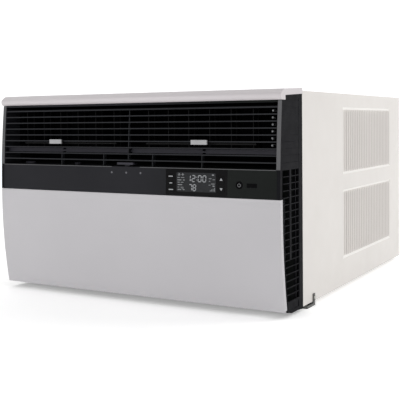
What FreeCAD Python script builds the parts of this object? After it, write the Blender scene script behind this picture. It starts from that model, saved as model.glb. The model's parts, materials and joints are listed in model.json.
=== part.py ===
import FreeCAD, Part
import math
import os
import re

import Sketcher

# Window air conditioner: a steel cabinet, a chassis that slides out of its front, and the plastic front.
# Design datum: x = 0 mid width, y = 0 cabinet front edge (+y outdoors), z = 0 cabinet underside.
# The frame's origin is the bottom centre of the bounding box, so every sub-part is placed from there.

DIMENSIONS = {
    # cabinet
    "cab_wide": 658.8, "cab_high": 404.8, "cab_deep": 634.6, "steel": 1.2, "front_reach": 102.0,
    "rail_drop": 8.0, "ear_thick": 2.0, "louvre_recess": 4.0, "louvre_front": 218.0, "louvre_rear": 554.0,
    "louvre_pitch": 12.0, "louvre_slot": 4.0, "rear_lip": 14.0, "rear_lip_face": 628.7,
    # curved front: two arcs that meet at the nose
    "nose_y": -100.0, "nose_z": 192.0, "upper_arc": 1780.0, "lower_arc": 1035.0, "plastic": 3.0,
    "joint_gap": 0.5, "groove_deep": 0.9, "door_low": 6.0, "door_top": 209.0, "door_deep": 10.0,
    "cheek_setback": 13.0,
    "band_low": 209.6, "band_top": 262.0, "front_top": 386.3, "hinge_y": -77.0, "hinge_z": 13.0,
    # discharge grille and its vanes
    "bar_pitch": 12.4, "bar_first": 274.4, "bar_thick": 2.0, "bar_deep": 6.0, "grille_half": 324.5,
    "rib_place": 167.0, "vane_axis_y": -62.0, "vane_first": 41.5, "vane_pitch": 45.5, "vane_thick": 1.6,
    "vane_low": 294.5, "vane_top": 371.5, "crank": 18.0, "pin": 1.5, "pin_bore": 1.58,
    "link_low": 305.5, "link_thick": 3.0, "deck_low": 290.5, "top_rail_low": 373.2,
    # air mover
    "axis_x": -40.0, "axis_z": 170.0, "shaft": 6.0, "shaft_bore": 6.06, "wheel": 98.0, "wheel_front": 52.0,
    "wheel_deep": 80.0, "scroll": 125.0, "scroll_front": 40.0, "scroll_back": 150.0, "bulkhead_y": 155.0,
    "fan": 150.0, "fan_front": 442.0, "fan_deep": 34.0, "motor": 62.0, "motor_front": 172.0, "motor_deep": 92.0,
    # coils
    "evap_half": 290.0, "evap_front": 6.0, "cond_half": 296.0, "cond_front": 575.0, "coil_deep": 30.0,
    "coil_low": 14.0, "evap_high": 228.0, "cond_high": 372.0, "tube": 4.5, "tube_wall": 0.8, "row_gap": 14.0,
    # chassis
    "pan_half": 322.0, "pan_front": 3.0, "pan_rear": 625.0, "pan_low": 1.8, "pan_sheet": 1.6, "pan_rim": 24.0,
    "comp_x": 215.0, "comp_y": 330.0, "comp": 60.0, "foot_half_x": 62.0, "foot_half_y": 48.0, "stud": 3.9,
    # control band
    "panel_left": 90.6, "panel_right": 223.6, "key_fit": 0.4, "power_x": 247.9, "power_z": 233.2,
    "power_key": 7.0,
}

DOC = FreeCAD.newDocument("window_air_conditioner")
SHEET = DOC.addObject("Spreadsheet::Sheet", "sizes")
for row, (alias, number) in enumerate(DIMENSIONS.items(), start=1):
    SHEET.set("A%d" % row, alias)
    SHEET.set("B%d" % row, str(number))
    SHEET.setAlias("B%d" % row, alias)
DOC.recompute()

DATUM_Y = "(front_reach - cab_deep) / 2"
DATUM_Z = "rail_drop"
NODES = []


def sheet_rule(text):
    """The same rule with every alias read from the sheet."""
    return re.sub(r"[a-z][a-z_]*", lambda word: "sizes." * (word.group() in DIMENSIONS) + word.group(), str(text))


def worth(text):
    """The number a rule has now."""
    return float(SHEET.evalExpression(str(text)))


def bind(thing, **rules):
    """Bind properties to the sheet; a double underscore stands for a dot."""
    for name, text in rules.items():
        thing.setExpression(name.replace("__", "."), sheet_rule(text))


def node(thing, label):
    """Keep one finished sub-part under the name of its file."""
    thing.Label = label
    NODES.append(thing)
    return thing


# ---- primitives in the design datum ----

def place(solid, x, y, z):
    bind(solid, Placement__Base__x=x, Placement__Base__y="(%s) + %s" % (y, DATUM_Y),
         Placement__Base__z="(%s) + %s" % (z, DATUM_Z))


def block(x, y, z):
    """A box between low and high rules along each axis."""
    solid = DOC.addObject("Part::Box", "block")
    bind(solid, Length="(%s) - (%s)" % (x[1], x[0]), Width="(%s) - (%s)" % (y[1], y[0]),
         Height="(%s) - (%s)" % (z[1], z[0]))
    place(solid, x[0], y[0], z[0])
    return solid


TURNS = {"x": FreeCAD.Rotation(FreeCAD.Vector(0, 1, 0), 90), "y": FreeCAD.Rotation(FreeCAD.Vector(1, 0, 0), -90),
         "z": FreeCAD.Rotation()}


def rod(axis, start, length, radius):
    """A cylinder from a start point along +x, +y or +z."""
    solid = DOC.addObject("Part::Cylinder", "rod")
    solid.Placement = FreeCAD.Placement(FreeCAD.Vector(), TURNS[axis])
    bind(solid, Radius=radius, Height=length)
    place(solid, *start)
    return solid


def taper(start, length, radius_low, radius_high):
    """A cone frustum along +z."""
    solid = DOC.addObject("Part::Cone", "taper")
    bind(solid, Radius1=radius_low, Radius2=radius_high, Height=length)
    place(solid, *start)
    return solid


def join(pieces):
    whole = DOC.addObject("Part::MultiFuse", "join")
    whole.Shapes = pieces
    return whole


def less(base, tools):
    rest = DOC.addObject("Part::Cut", "less")
    rest.Base = base
    rest.Tool = tools[0] if len(tools) == 1 else join(tools)
    return rest


def group(pieces):
    """Separate solids that share one node."""
    together = DOC.addObject("Part::Compound", "group")
    together.Links = pieces
    return together


# ---- bodies with sketches ----

def loose_body(label):
    """A body for one of the solids that share a node."""
    body = DOC.addObject("PartDesign::Body", label)
    bind(body, Placement__Base__y=DATUM_Y, Placement__Base__z=DATUM_Z)
    return body


def new_body(label):
    """A body that is a node of its own."""
    return node(loose_body(label), label)


def new_sketch(body, plane, offset="0"):
    """A sketch on one of the body's origin planes, moved along its normal. XZ has its normal along -y."""
    sketch = body.newObject("Sketcher::SketchObject", "sketch")
    support = [face for face in body.Origin.OriginFeatures if face.Role == plane][0]
    sketch.AttachmentSupport = (support, [""])
    sketch.MapMode = "FlatFace"
    bind(sketch, AttachmentOffset__Base__z=offset)
    return sketch


def fix_point(sketch, line, end, across, up):
    """Hold one end of a line at two rules measured from the sketch origin."""
    for kind, text in (("DistanceX", across), ("DistanceY", up)):
        index = sketch.addConstraint(Sketcher.Constraint(kind, -1, 1, line, end, worth(text)))
        sketch.setExpression("Constraints[%d]" % index, sheet_rule(text))


def arc_between(start, finish, radius, side):
    """An arc that bulges to the right (side 1) or left (side -1) of the way from start to finish."""
    chord = finish - start
    rise = radius - (radius ** 2 - (chord.Length / 2) ** 2) ** 0.5
    right = FreeCAD.Vector(chord.y, -chord.x, 0).normalize()
    return Part.Arc(start, (start + finish) / 2 + right * rise * side, finish)


def outline(sketch, points):
    """A closed outline; a point may end with the radius and side of the arc that leaves it."""
    corners = [FreeCAD.Vector(worth(point[0]), worth(point[1]), 0) for point in points]
    first = sketch.GeometryCount
    count = len(points)
    ends = []
    for index, point in enumerate(points):
        start = corners[index]
        finish = corners[(index + 1) % count]
        if len(point) == 4:
            sketch.addGeometry(arc_between(start, finish, worth(point[2]), point[3]), False)
        else:
            sketch.addGeometry(Part.LineSegment(start, finish), False)
        # a sketch numbers the ends of every arc counter-clockwise
        ends.append((2, 1) if point[-1] == -1 else (1, 2))
    for index, point in enumerate(points):
        following = (index + 1) % count
        sketch.addConstraint(Sketcher.Constraint("Coincident", first + index, ends[index][1],
                                                 first + following, ends[following][0]))
        fix_point(sketch, first + index, ends[index][0], point[0], point[1])
        if len(point) == 4:
            radius = sketch.addConstraint(Sketcher.Constraint("Radius", first + index, worth(point[2])))
            sketch.setExpression("Constraints[%d]" % radius, sheet_rule(point[2]))


def rectangle(sketch, across, up):
    outline(sketch, [(across[0], up[0]), (across[1], up[0]), (across[1], up[1]), (across[0], up[1])])


def circle(sketch, across, up, radius):
    centre = FreeCAD.Vector(worth(across), worth(up), 0)
    ring = sketch.addGeometry(Part.Circle(centre, FreeCAD.Vector(0, 0, 1), worth(radius)), False)
    fix_point(sketch, ring, 3, across, up)
    index = sketch.addConstraint(Sketcher.Constraint("Radius", ring, worth(radius)))
    sketch.setExpression("Constraints[%d]" % index, sheet_rule(radius))


def pad(body, sketch, length, side="One side", reverse=False):
    feature = body.newObject("PartDesign::Pad", "pad")
    feature.Profile = sketch
    feature.SideType = side
    feature.Reversed = reverse
    bind(feature, Length=length)
    return feature


def pocket(body, sketch, length, side="One side", reverse=False):
    feature = body.newObject("PartDesign::Pocket", "pocket")
    feature.Profile = sketch
    feature.SideType = side
    feature.Reversed = reverse
    bind(feature, Length=length)
    DOC.recompute()
    if feature.Shape.Volume >= feature.BaseFeature.Shape.Volume - 1e-6:
        raise RuntimeError("%s: %s cuts nothing" % (body.Label, feature.Name))
    return feature


def row_pattern(body, features, axis, length, count):
    """Evenly spaced copies along one of the body's axes, over the whole length."""
    feature = body.newObject("PartDesign::LinearPattern", "row")
    feature.Originals = features
    feature.Direction = ([line for line in body.Origin.OriginFeatures if line.Role == axis][0], [""])
    feature.Mode = "Extent"
    feature.Occurrences = count
    bind(feature, Length=length)
    body.Tip = feature
    return feature


def ring_pattern(body, features, axis, count):
    """Copies round one of the body's axes."""
    feature = body.newObject("PartDesign::PolarPattern", "ring")
    feature.Originals = features
    feature.Axis = ([line for line in body.Origin.OriginFeatures if line.Role == axis][0], [""])
    feature.Angle = 360
    feature.Occurrences = count
    body.Tip = feature
    return feature


def bend_path(corners, radius):
    """Straight runs joined by tangent arcs, of the given radius where the runs have room for it."""
    points = [FreeCAD.Vector(*corner) for corner in corners]
    edges = []
    start = points[0]
    for before, corner, after in zip(points, points[1:], points[2:]):
        back = (before - corner).normalize()
        ahead = (after - corner).normalize()
        slope = math.tan((math.pi - back.getAngle(ahead)) / 2)
        room = 0.499 * min((before - corner).Length, (after - corner).Length)
        reach = min(radius * slope, room)
        bend = reach / slope
        first = corner + back * reach
        last = corner + ahead * reach
        to_centre = (back + ahead).normalize()
        middle = corner + to_centre * (math.hypot(reach, bend) - bend)
        edges.append(Part.LineSegment(start, first).toShape())
        edges.append(Part.Arc(first, middle, last).toShape())
        start = last
    edges.append(Part.LineSegment(start, points[-1]).toShape())
    return Part.Wire(edges)


def tube_along(path, radius, wall):
    """A hollow tube along a path of straight runs and arcs, swept edge by edge."""
    spans = []
    for edge in path.OrderedEdges:
        start = edge.valueAt(edge.FirstParameter)
        heading = edge.tangentAt(edge.FirstParameter)
        if edge.Orientation == "Reversed":
            start = edge.valueAt(edge.LastParameter)
            heading = edge.tangentAt(edge.LastParameter) * -1
        disc, hole = [Part.Face(Part.Wire(Part.makeCircle(size, start, heading))) for size in (radius, radius - wall)]
        ring = disc.cut(hole).Faces[0]
        if isinstance(edge.Curve, Part.Circle):
            centre = edge.Curve.Center
            turn_axis = (start - centre).cross(heading)
            spans.append(ring.revolve(centre, turn_axis, math.degrees(edge.Length / edge.Curve.Radius)))
        else:
            spans.append(ring.extrude(heading.normalize() * edge.Length))
    return spans[0].fuse(spans[1:])


def set_shape(label, shape):
    """A sub-part whose shape is set directly, placed from the datum."""
    feature = DOC.addObject("Part::Feature", label)
    feature.Shape = shape
    bind(feature, Placement__Base__y=DATUM_Y, Placement__Base__z=DATUM_Z)
    return node(feature, label)


# ---- rules used by several sub-parts ----

HALF = "cab_wide / 2"
INSIDE = "cab_wide / 2 - steel"
REAR_SCREWS = ("60", "200", "345")
REAR_SCREW_X = INSIDE + " + 0.1 - rear_lip / 2"
SIGNS = ("-(%s)", "%s")
GLAND_X, GLAND_Y = "292", "-12.5"


def front_at(height, inward="0"):
    """The y of the curved front, or of a surface further in, at a height."""
    arc = "upper_arc" if worth(height) > worth("nose_z") else "lower_arc"
    return "nose_y + %s - sqrt((%s - (%s)) ^ 2 - ((%s) - nose_z) ^ 2)" % (arc, arc, inward, height)


def front_run(first, last, inward="0"):
    """Outline points along the curved front from one height to another, up or down."""
    side = 1 if worth(first) > worth(last) else -1
    upper = ["upper_arc - (%s)" % inward, side]
    lower = ["lower_arc - (%s)" % inward, side]
    start = [front_at(first, inward), first]
    end = [front_at(last, inward), last]
    if (worth(first) - worth("nose_z")) * (worth(last) - worth("nose_z")) < 0:
        leaving, arriving = (upper, lower) if side == 1 else (lower, upper)
        return [start + leaving, ["nose_y + (%s)" % inward, "nose_z"] + arriving, end]
    return [start + (upper if worth(first) + worth(last) > 2 * worth("nose_z") else lower), end]


# ---- cabinet ----

def cabinet_shell():
    """Folded steel sleeve with two recessed louvre panels in each side and a lip at its back."""
    body = new_body("cabinet_shell")
    section = new_sketch(body, "XZ_Plane")
    rectangle(section, ("-" + HALF, HALF), ("0", "cab_high"))
    rectangle(section, ("-(" + INSIDE + ")", INSIDE), ("steel", "cab_high - steel"))
    pad(body, section, "cab_deep", reverse=True)
    panels = (("56", "202"), ("235", "376"))
    windows = new_sketch(body, "YZ_Plane")
    for low, high in panels:
        rectangle(windows, ("louvre_front", "louvre_rear"), (low, high))
    pocket(body, windows, "2 * cab_wide", "Symmetric")
    for sign, reverse in (("%s", True), ("-(%s)", False)):
        rims = new_sketch(body, "YZ_Plane", sign % HALF)
        floors = new_sketch(body, "YZ_Plane", sign % (HALF + " - louvre_recess + steel"))
        for low, high in panels:
            outer_y = ("louvre_front - steel", "louvre_rear + steel")
            outer_z = (low + " - steel", high + " + steel")
            rectangle(rims, outer_y, outer_z)
            rectangle(rims, ("louvre_front", "louvre_rear"), (low, high))
            rectangle(floors, outer_y, outer_z)
        pad(body, rims, "louvre_recess", reverse=reverse)
        pad(body, floors, "steel", reverse=reverse)
    slots = new_sketch(body, "YZ_Plane")
    for low, high in panels:
        rectangle(slots, ("louvre_front + 4", "louvre_front + 4 + louvre_slot"), (low + " + 5", high + " - 5"))
    cut = pocket(body, slots, "2 * cab_wide", "Symmetric")
    row_pattern(body, [cut], "Y_Axis", "27 * louvre_pitch", 28)
    lip = new_sketch(body, "XZ_Plane", "-(rear_lip_face - steel)")
    for sign in SIGNS:
        rectangle(lip, (sign % (INSIDE + " - rear_lip"), sign % (INSIDE + " + 0.2")), ("10", "cab_high - 10"))
        for height in REAR_SCREWS:
            circle(lip, sign % REAR_SCREW_X, height, "2.1")
    pad(body, lip, "steel", reverse=True)
    ears = new_sketch(body, "YZ_Plane")
    circle(ears, "51", "8", "2.1")
    pocket(body, ears, "2 * cab_wide", "Symmetric")


def sill_rails():
    """Front rail with an upturned ear at each end, and the plain rear rail that the cabinet also stands on."""
    rails = []
    for front, rear, half in (("16", "53", HALF), ("570", "607", "270")):
        across = ("-(%s)" % half, half)
        rails.append([block(across, (front, rear), ("-rail_drop", "-rail_drop + 2")),
                      block(across, (front, front + " + 2"), ("-rail_drop", "-0.1")),
                      block(across, (rear + " - 2", rear), ("-rail_drop", "-0.1")),
                      block(across, (rear + " - 14", rear), ("-2.1", "-0.1"))])
    for inner, outer in ((HALF, HALF + " + ear_thick"), ("-(" + HALF + " + ear_thick)", "-" + HALF)):
        rails[0].append(block((inner, outer), ("16", "55"), ("-rail_drop", "-rail_drop + 5")))
        rails[0].append(block((inner, outer), ("47", "55"), ("-rail_drop", "15")))
    holes = [rod("x", ("-(%s + 10)" % HALF, "51", "8"), "2 * (%s + 10)" % HALF, "2.1")]
    holes += [rod("z", (across, "28", "-rail_drop - 1"), "4", "2.6") for across in ("-240", "240")]
    node(group([less(join(rails[0]), holes), join(rails[1])]), "sill_rails")


def rear_grille():
    """Steel frame with upright bars that guards the outdoor coil."""
    body = new_body("rear_grille")
    face = "-(rear_lip_face + 0.1)"
    frame = new_sketch(body, "XZ_Plane", face)
    rectangle(frame, ("-(" + INSIDE + " - 0.3)", INSIDE + " - 0.3"), ("steel + 0.3", "cab_high - steel - 0.3"))
    rectangle(frame, ("-(" + INSIDE + " - 16)", INSIDE + " - 16"), ("20", "cab_high - 20"))
    for sign in SIGNS:
        for height in REAR_SCREWS:
            circle(frame, sign % REAR_SCREW_X, height, "2.1")
    pad(body, frame, "1.5", reverse=True)
    rail = new_sketch(body, "XZ_Plane", face)
    rectangle(rail, ("-(" + INSIDE + " - 12)", INSIDE + " - 12"), ("cab_high / 2 - 3", "cab_high / 2 + 3"))
    pad(body, rail, "1.5", reverse=True)
    bar = new_sketch(body, "XZ_Plane", face)
    rectangle(bar, ("-301.5", "-298.5"), ("15", "cab_high - 15"))
    upright = pad(body, bar, "3.5", reverse=True)
    row_pattern(body, [upright], "X_Axis", "600", 26)


def screw(axis, x, y, z, length, head_first):
    """A round-headed screw; the head is at the start or at the far end of its shank."""
    spot = {"x": x, "y": y, "z": z}
    shank = rod(axis, (x, y, z), length, "2")
    spot[axis] = "(%s) - 2" % spot[axis] if head_first else "(%s) + %s" % (spot[axis], length)
    head = rod(axis, (spot["x"], spot["y"], spot["z"]), "2", "3.8")
    return join([shank, head])


def cabinet_screws():
    """Screws of the rail ears and of the rear grille."""
    pieces = [screw("x", HALF + " - 4", "51", "8", "4 + ear_thick", False),
              screw("x", "-(%s + ear_thick)" % HALF, "51", "8", "4 + ear_thick", True)]
    for sign in SIGNS:
        for height in REAR_SCREWS:
            pieces.append(screw("y", sign % REAR_SCREW_X, "rear_lip_face - 4", height, "5.6", False))
    node(group(pieces), "cabinet_screws")


# ---- plastic front ----

def bezel_cheek(label, side, reverse):
    """Side of the front: a plate with a slotted lower part, grooves above, and the arm that holds the door's pin."""
    body = loose_body(label)
    rear = "-joint_gap"
    inner = "cab_wide / 2 - plastic"
    plate = new_sketch(body, "YZ_Plane", side % HALF)
    outline(plate, [["-77", "394.6"], ["-77", "front_top"]] + front_run("front_top", "band_low")
            + front_run("band_low", "2.5", "cheek_setback") + [[rear, "-3.5"], [rear, "398.8"]])
    pad(body, plate, "plastic", reverse=reverse)
    windows = new_sketch(body, "YZ_Plane")
    outline(windows, front_run("261", "band_low", "8") + front_run("band_low", "97", "cheek_setback + 1.5")
            + [["-59.5", "97"], ["-59.5", "261"]])
    rectangle(windows, ("-52.2", "-17.8"), ("97", "261"))
    pocket(body, windows, "2 * cab_wide", "Symmetric")
    low_window = new_sketch(body, "YZ_Plane")
    outline(low_window, front_run("97.4", "22", "cheek_setback + 1.5") + [["-17.8", "22"], ["-17.8", "97.4"]])
    pocket(body, low_window, "2 * cab_wide", "Symmetric")
    slats = new_sketch(body, "YZ_Plane", side % (HALF + " - 0.3"))
    rectangle(slats, ("-86", "-14"), ("33.5", "34.9"))
    slat = pad(body, slats, "plastic - 0.6", reverse=reverse)
    row_pattern(body, [slat], "Z_Axis", "17 * bar_pitch + 4", 18)
    in_front = new_sketch(body, "YZ_Plane")
    outline(in_front, [["-120", "band_low"], ["-120", "-10"], [front_at("2.5", "cheek_setback"), "-10"]]
            + front_run("2.5", "band_low", "cheek_setback"))
    pocket(body, in_front, "2 * cab_wide", "Symmetric")
    arm = new_sketch(body, "YZ_Plane", side % (inner + " - 0.4"))
    circle(arm, "hinge_y", "hinge_z", "3.2")
    pad(body, arm, "8", reverse=reverse)
    root = new_sketch(body, "YZ_Plane", side % (inner + " - 0.4"))
    rectangle(root, ("hinge_y", "-62"), ("hinge_z - 3", "hinge_z + 3"))
    pad(body, root, "8", reverse=reverse)
    foot = new_sketch(body, "YZ_Plane", side % (inner + " + 0.5"))
    rectangle(foot, ("-68", "-62"), ("hinge_z - 3", "hinge_z + 3"))
    pad(body, foot, "2", reverse=reverse)
    bore = new_sketch(body, "YZ_Plane")
    circle(bore, "hinge_y", "hinge_z", "2.06")
    pocket(body, bore, "2 * (%s - 0.2)" % inner, "Symmetric")
    marks = new_sketch(body, "YZ_Plane", side % HALF)
    rectangle(marks, ("-17", "-15.8"), ("22", "391"))
    rectangle(marks, ("-62", "-20"), ("5", "18"))
    pocket(body, marks, "groove_deep", reverse=not reverse)
    grooves = new_sketch(body, "YZ_Plane", side % HALF)
    rectangle(grooves, ("-110", "-17.2"), ("bar_first - 0.6", "bar_first + 0.6"))
    groove = pocket(body, grooves, "groove_deep", reverse=not reverse)
    row_pattern(body, [groove], "Z_Axis", "9 * bar_pitch", 10)
    return body


def control_band():
    """Curved strip between the cheeks that holds the display and the keys."""
    body = loose_body("control_band")
    band = new_sketch(body, "YZ_Plane")
    outline(band, front_run("band_top", "band_low") + front_run("band_low", "band_top", "plastic"))
    pad(body, band, "cab_wide - 2 * plastic", "Symmetric")
    face = new_sketch(body, "XZ_Plane", "120")
    rectangle(face, ("panel_left - 0.2", "panel_right + 0.2"), ("211", "260.6"))
    circle(face, "power_x", "power_z", "power_key + key_fit")
    rectangle(face, ("262.8", "283.7"), ("228.8", "237.2"))
    pocket(body, face, "40")
    return body


def filter_wall():
    """Wall with the wide opening that the filter covers."""
    body = loose_body("filter_wall")
    wall = new_sketch(body, "XZ_Plane", "24")
    rectangle(wall, ("-(cab_wide / 2 - plastic)", "cab_wide / 2 - plastic"), ("0", "band_top"))
    rectangle(wall, ("-296", "296"), ("18", "205"))
    pad(body, wall, "3")
    return body


def outlet_floor():
    """Floor of the outlet, which parts it from the intake below and carries the vent's slider."""
    return block(("-(cab_wide / 2 - plastic)", "cab_wide / 2 - plastic"), ("-95.5", "-27"),
                 ("band_top - 1.4", "band_top"))


def bottom_lip():
    """Sill of the front between the cheeks, with the hole for the cord's bush."""
    lip = block(("-(cab_wide / 2 - plastic)", "cab_wide / 2 - plastic"), ("-46", "-joint_gap"), ("-3", "0"))
    return less(lip, [rod("z", (GLAND_X, GLAND_Y, "-4"), "5", "8")])


def rear_flanges():
    """Strips behind the cheeks that close the front against the cabinet's edge."""
    return [block((left, right), ("-joint_gap - 3", "-joint_gap"), ("0", "258"))
            for left, right in (("-(cab_wide / 2 - plastic)", "-305"), ("305", "cab_wide / 2 - plastic"))]


def top_crossbar():
    """Bar that ties the cheeks together under the top trim."""
    return block(("-(cab_wide / 2 - plastic)", "cab_wide / 2 - plastic"), ("-90", "-60"),
                 ("front_top - 4", "front_top"))


def front_bezel():
    """The moulded front, made up of flat solids that meet face to face."""
    cheeks = [bezel_cheek("cheek_right", "%s", True), bezel_cheek("cheek_left", "-(%s)", False)]
    flats = [control_band(), filter_wall(), outlet_floor(), bottom_lip(), top_crossbar()]
    node(group(cheeks + flats + rear_flanges()), "front_bezel")


def top_trim():
    """Light cap over the top of the front: front strip, top skin and side returns."""
    body = new_body("top_trim")
    profile = new_sketch(body, "YZ_Plane")
    outline(profile, [["-joint_gap", "410"], ["-84", "405.8"], ["-91", "401", "8", 1], ["-91.5", "front_top + 0.2"],
                      ["-77.3", "front_top + 0.2"], ["-77.3", "394.9"], ["-joint_gap", "399.1"]])
    pad(body, profile, "cab_wide + 2", "Symmetric")
    hollow = new_sketch(body, "YZ_Plane")
    outline(hollow, [["-3.5", "407"], ["-84", "402.8"], ["-88.4", "399"], ["-88.4", "380"], ["-3.5", "380"]])
    pocket(body, hollow, "cab_wide - 4", "Symmetric")


def front_door():
    """Curved lower door with returns at its sides and top, and a pin at each bottom corner."""
    body = new_body("front_door")
    skin = new_sketch(body, "YZ_Plane")
    outline(skin, front_run("door_top", "door_low") + front_run("door_low", "door_top", "plastic"))
    pad(body, skin, "cab_wide", "Symmetric")
    for sign, reverse in (("%s", True), ("-(%s)", False)):
        side = new_sketch(body, "YZ_Plane", sign % HALF)
        outline(side, front_run("door_top", "door_low") + front_run("door_low + 3", "door_top", "door_deep"))
        pad(body, side, "plastic", reverse=reverse)
        pins = new_sketch(body, "YZ_Plane", sign % (HALF + " - 2"))
        circle(pins, "hinge_y", "hinge_z", "2")
        pad(body, pins, "9", reverse=reverse)
    lid = new_sketch(body, "YZ_Plane")
    outline(lid, [["nose_y + 1", "door_top - 3"], ["nose_y + door_deep", "door_top - 3"],
                  ["nose_y + door_deep", "door_top"], ["nose_y + 1", "door_top"]])
    pad(body, lid, "cab_wide - 1", "Symmetric")


def discharge_grille():
    """Nine thin bars on a frame, with uprights behind them and the top rail that holds the vanes."""
    body = new_body("discharge_grille")
    for sign, reverse in (("%s", True), ("-(%s)", False)):
        ends = new_sketch(body, "YZ_Plane", sign % "grille_half")
        outline(ends, front_run("381", "band_top + 0.6") + [["-50", "band_top + 0.6"], ["-50", "381"]])
        pad(body, ends, "plastic", reverse=reverse)
    rail = new_sketch(body, "YZ_Plane")
    rectangle(rail, ("-86", "-50"), ("top_rail_low", "top_rail_low + 2.5"))
    pad(body, rail, "2 * grille_half - 4", "Symmetric")
    for number in range(9):
        height = "bar_first + %d * bar_pitch" % number
        bar = new_sketch(body, "YZ_Plane")
        front = front_at(height)
        rectangle(bar, (front, front + " + bar_deep"), (height + " - bar_thick / 2", height + " + bar_thick / 2"))
        pad(body, bar, "2 * grille_half - 4", "Symmetric")
    for place_x, top in UPRIGHTS:
        upright = new_sketch(body, "YZ_Plane", place_x)
        outline(upright, front_run(top, "band_top + 0.6", "4") + [["-85.2", "band_top + 0.6"], ["-85.2", top]])
        pad(body, upright, "1.5", "Symmetric")
    gaps = new_sketch(body, "XZ_Plane", "110")
    for left, right in LEVERS.values():
        rectangle(gaps, (left + " - 0.5", right + " + 0.5"),
                  ("bar_first + 2 * bar_pitch + 2", "bar_first + 4 * bar_pitch - 2"))
    rectangle(gaps, ("-36", "30"), ("band_top", "bar_first - bar_thick / 2 - 0.4"))
    pocket(body, gaps, "60")
    bores = new_sketch(body, "XY_Plane", "top_rail_low - 5")
    for place_x in VANE_PLACES:
        circle(bores, place_x, "vane_axis_y", "pin_bore")
    pocket(body, bores, "10", reverse=True)


UPRIGHTS = (("-rib_place", "288"), ("-60", "288"), ("0", "375"), ("57", "288"), ("rib_place", "288"))
LEVERS = {"left": ("-192.5", "-162"), "right": ("148", "182")}
VANE_STEPS = ["(vane_first + %d * vane_pitch)" % step for step in range(6)]
VANE_PLACES = ["-" + step for step in reversed(VANE_STEPS)] + VANE_STEPS


def vane_deck():
    """Strip across the outlet that carries the lower ends of the vanes, with a lip along its front."""
    body = new_body("vane_deck")
    plate = new_sketch(body, "XY_Plane", "deck_low")
    rectangle(plate, ("-(grille_half - plastic - 0.1)", "grille_half - plastic - 0.1"), ("-84.8", "-46"))
    for place_x in VANE_PLACES:
        circle(plate, place_x, "vane_axis_y", "pin_bore")
    pad(body, plate, "3")
    lip = new_sketch(body, "XZ_Plane", "84.8")
    end = "grille_half - plastic - 0.1"
    for left, right in (("-(%s)" % end, "-rib_place - 3.5"), ("-rib_place + 3.5", "-3.5"),
                        ("3.5", "rib_place - 3.5"), ("rib_place + 3.5", end)):
        rectangle(lip, (left, right), ("deck_low - 1.9", "deck_low + 6.5"))
    pad(body, lip, "1.6", reverse=True)


def vane(label, place_x):
    """Upright blade with a pivot pin at each end and a crank pin where the link bar crosses it."""
    half = "vane_thick / 2"
    across = ("%s - %s" % (place_x, half), "%s + %s" % (place_x, half))
    blade = block(across, ("vane_axis_y - 20.4", "vane_axis_y + 14"), ("vane_low", "vane_top"))
    notch = block(("%s - 3" % place_x, "%s + 3" % place_x), ("vane_axis_y - 23", "vane_axis_y - 11"),
                  ("link_low - 1.2", "link_low + link_thick + 1.2"))
    hub = rod("z", (place_x, "vane_axis_y", "vane_low"), "vane_top - vane_low", "2.2")
    pivot = rod("z", (place_x, "vane_axis_y", "deck_low"), "top_rail_low + 2.3 - deck_low", "pin")
    crank = rod("z", (place_x, "vane_axis_y - crank", "link_low - 2"), "link_thick + 4", "pin")
    node(join([less(blade, [notch]), hub, pivot, crank]), label)


def vane_link(label, places, lever):
    """Bar that joins one group of vanes, with the finger lever that stands out between the bars."""
    ends = ("%s - 6" % places[0], "%s + 6" % places[-1])
    bar = block(ends, ("vane_axis_y - crank - 4", "vane_axis_y - crank + 4"), ("link_low", "link_low + link_thick"))
    holes = [rod("z", (place_x, "vane_axis_y - crank", "link_low - 1"), "link_thick + 2", "pin_bore")
             for place_x in places]
    neck = block(("%s + 8" % lever[0], "%s - 8" % lever[1]), ("-99", "vane_axis_y - crank"),
                 ("link_low + 1", "link_low + link_thick"))
    web = block(("%s + 8" % lever[0], "%s - 8" % lever[1]), ("-99", "-90"),
                ("link_low + 1", "bar_first + 3 * bar_pitch + 1.4"))
    tab = block(lever, ("-front_reach", "-98.6"),
                ("bar_first + 3 * bar_pitch - 5.4", "bar_first + 3 * bar_pitch + 3.2"))
    slot_free = less(join([bar, neck]), holes)
    node(join([slot_free, web, tab]), label)


def vent_lever():
    """Slider of the fresh-air vent, under the lowest bar."""
    tab = block(("-22", "16"), ("-101", "-93"), ("266", "270.2"))
    stem = block(("-8", "2"), ("-94", "-62"), ("262.4", "266.4"))
    node(join([tab, stem]), "vent_lever")


def vent_flap():
    """Small damper behind the bulkhead, hung on a pin along its top edge."""
    plate = block(("-288", "-232"), ("bulkhead_y + 2", "bulkhead_y + 3.5"), ("330", "366"))
    pin = rod("x", ("-295", "bulkhead_y + 4.6", "365"), "70", "1.5")
    node(join([plate, pin]), "vent_flap")


# ---- control band ----

KEYS = {
    "key_mode": (("95.2", "108.2"), ("243.4", "248.8")),
    "key_timer": (("95.2", "108.2"), ("230.6", "236")),
    "key_speed": (("95.2", "108.2"), ("218.2", "223.6")),
    "key_up": (("204.6", "216.6"), ("236.4", "248.4")),
    "key_down": (("204.6", "216.6"), ("218.6", "230.6")),
}
FACE_Y = "nose_y + 0.9"


def display_panel():
    """Glossy window of the control band with a hole for each key."""
    body = new_body("display_panel")
    face = new_sketch(body, "XZ_Plane", "-(%s)" % FACE_Y)
    rectangle(face, ("panel_left", "panel_right"), ("211.2", "260.4"))
    for across, up in KEYS.values():
        rectangle(face, (across[0] + " - key_fit", across[1] + " + key_fit"),
                  (up[0] + " - key_fit", up[1] + " + key_fit"))
    pad(body, face, "2", reverse=True)


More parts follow.
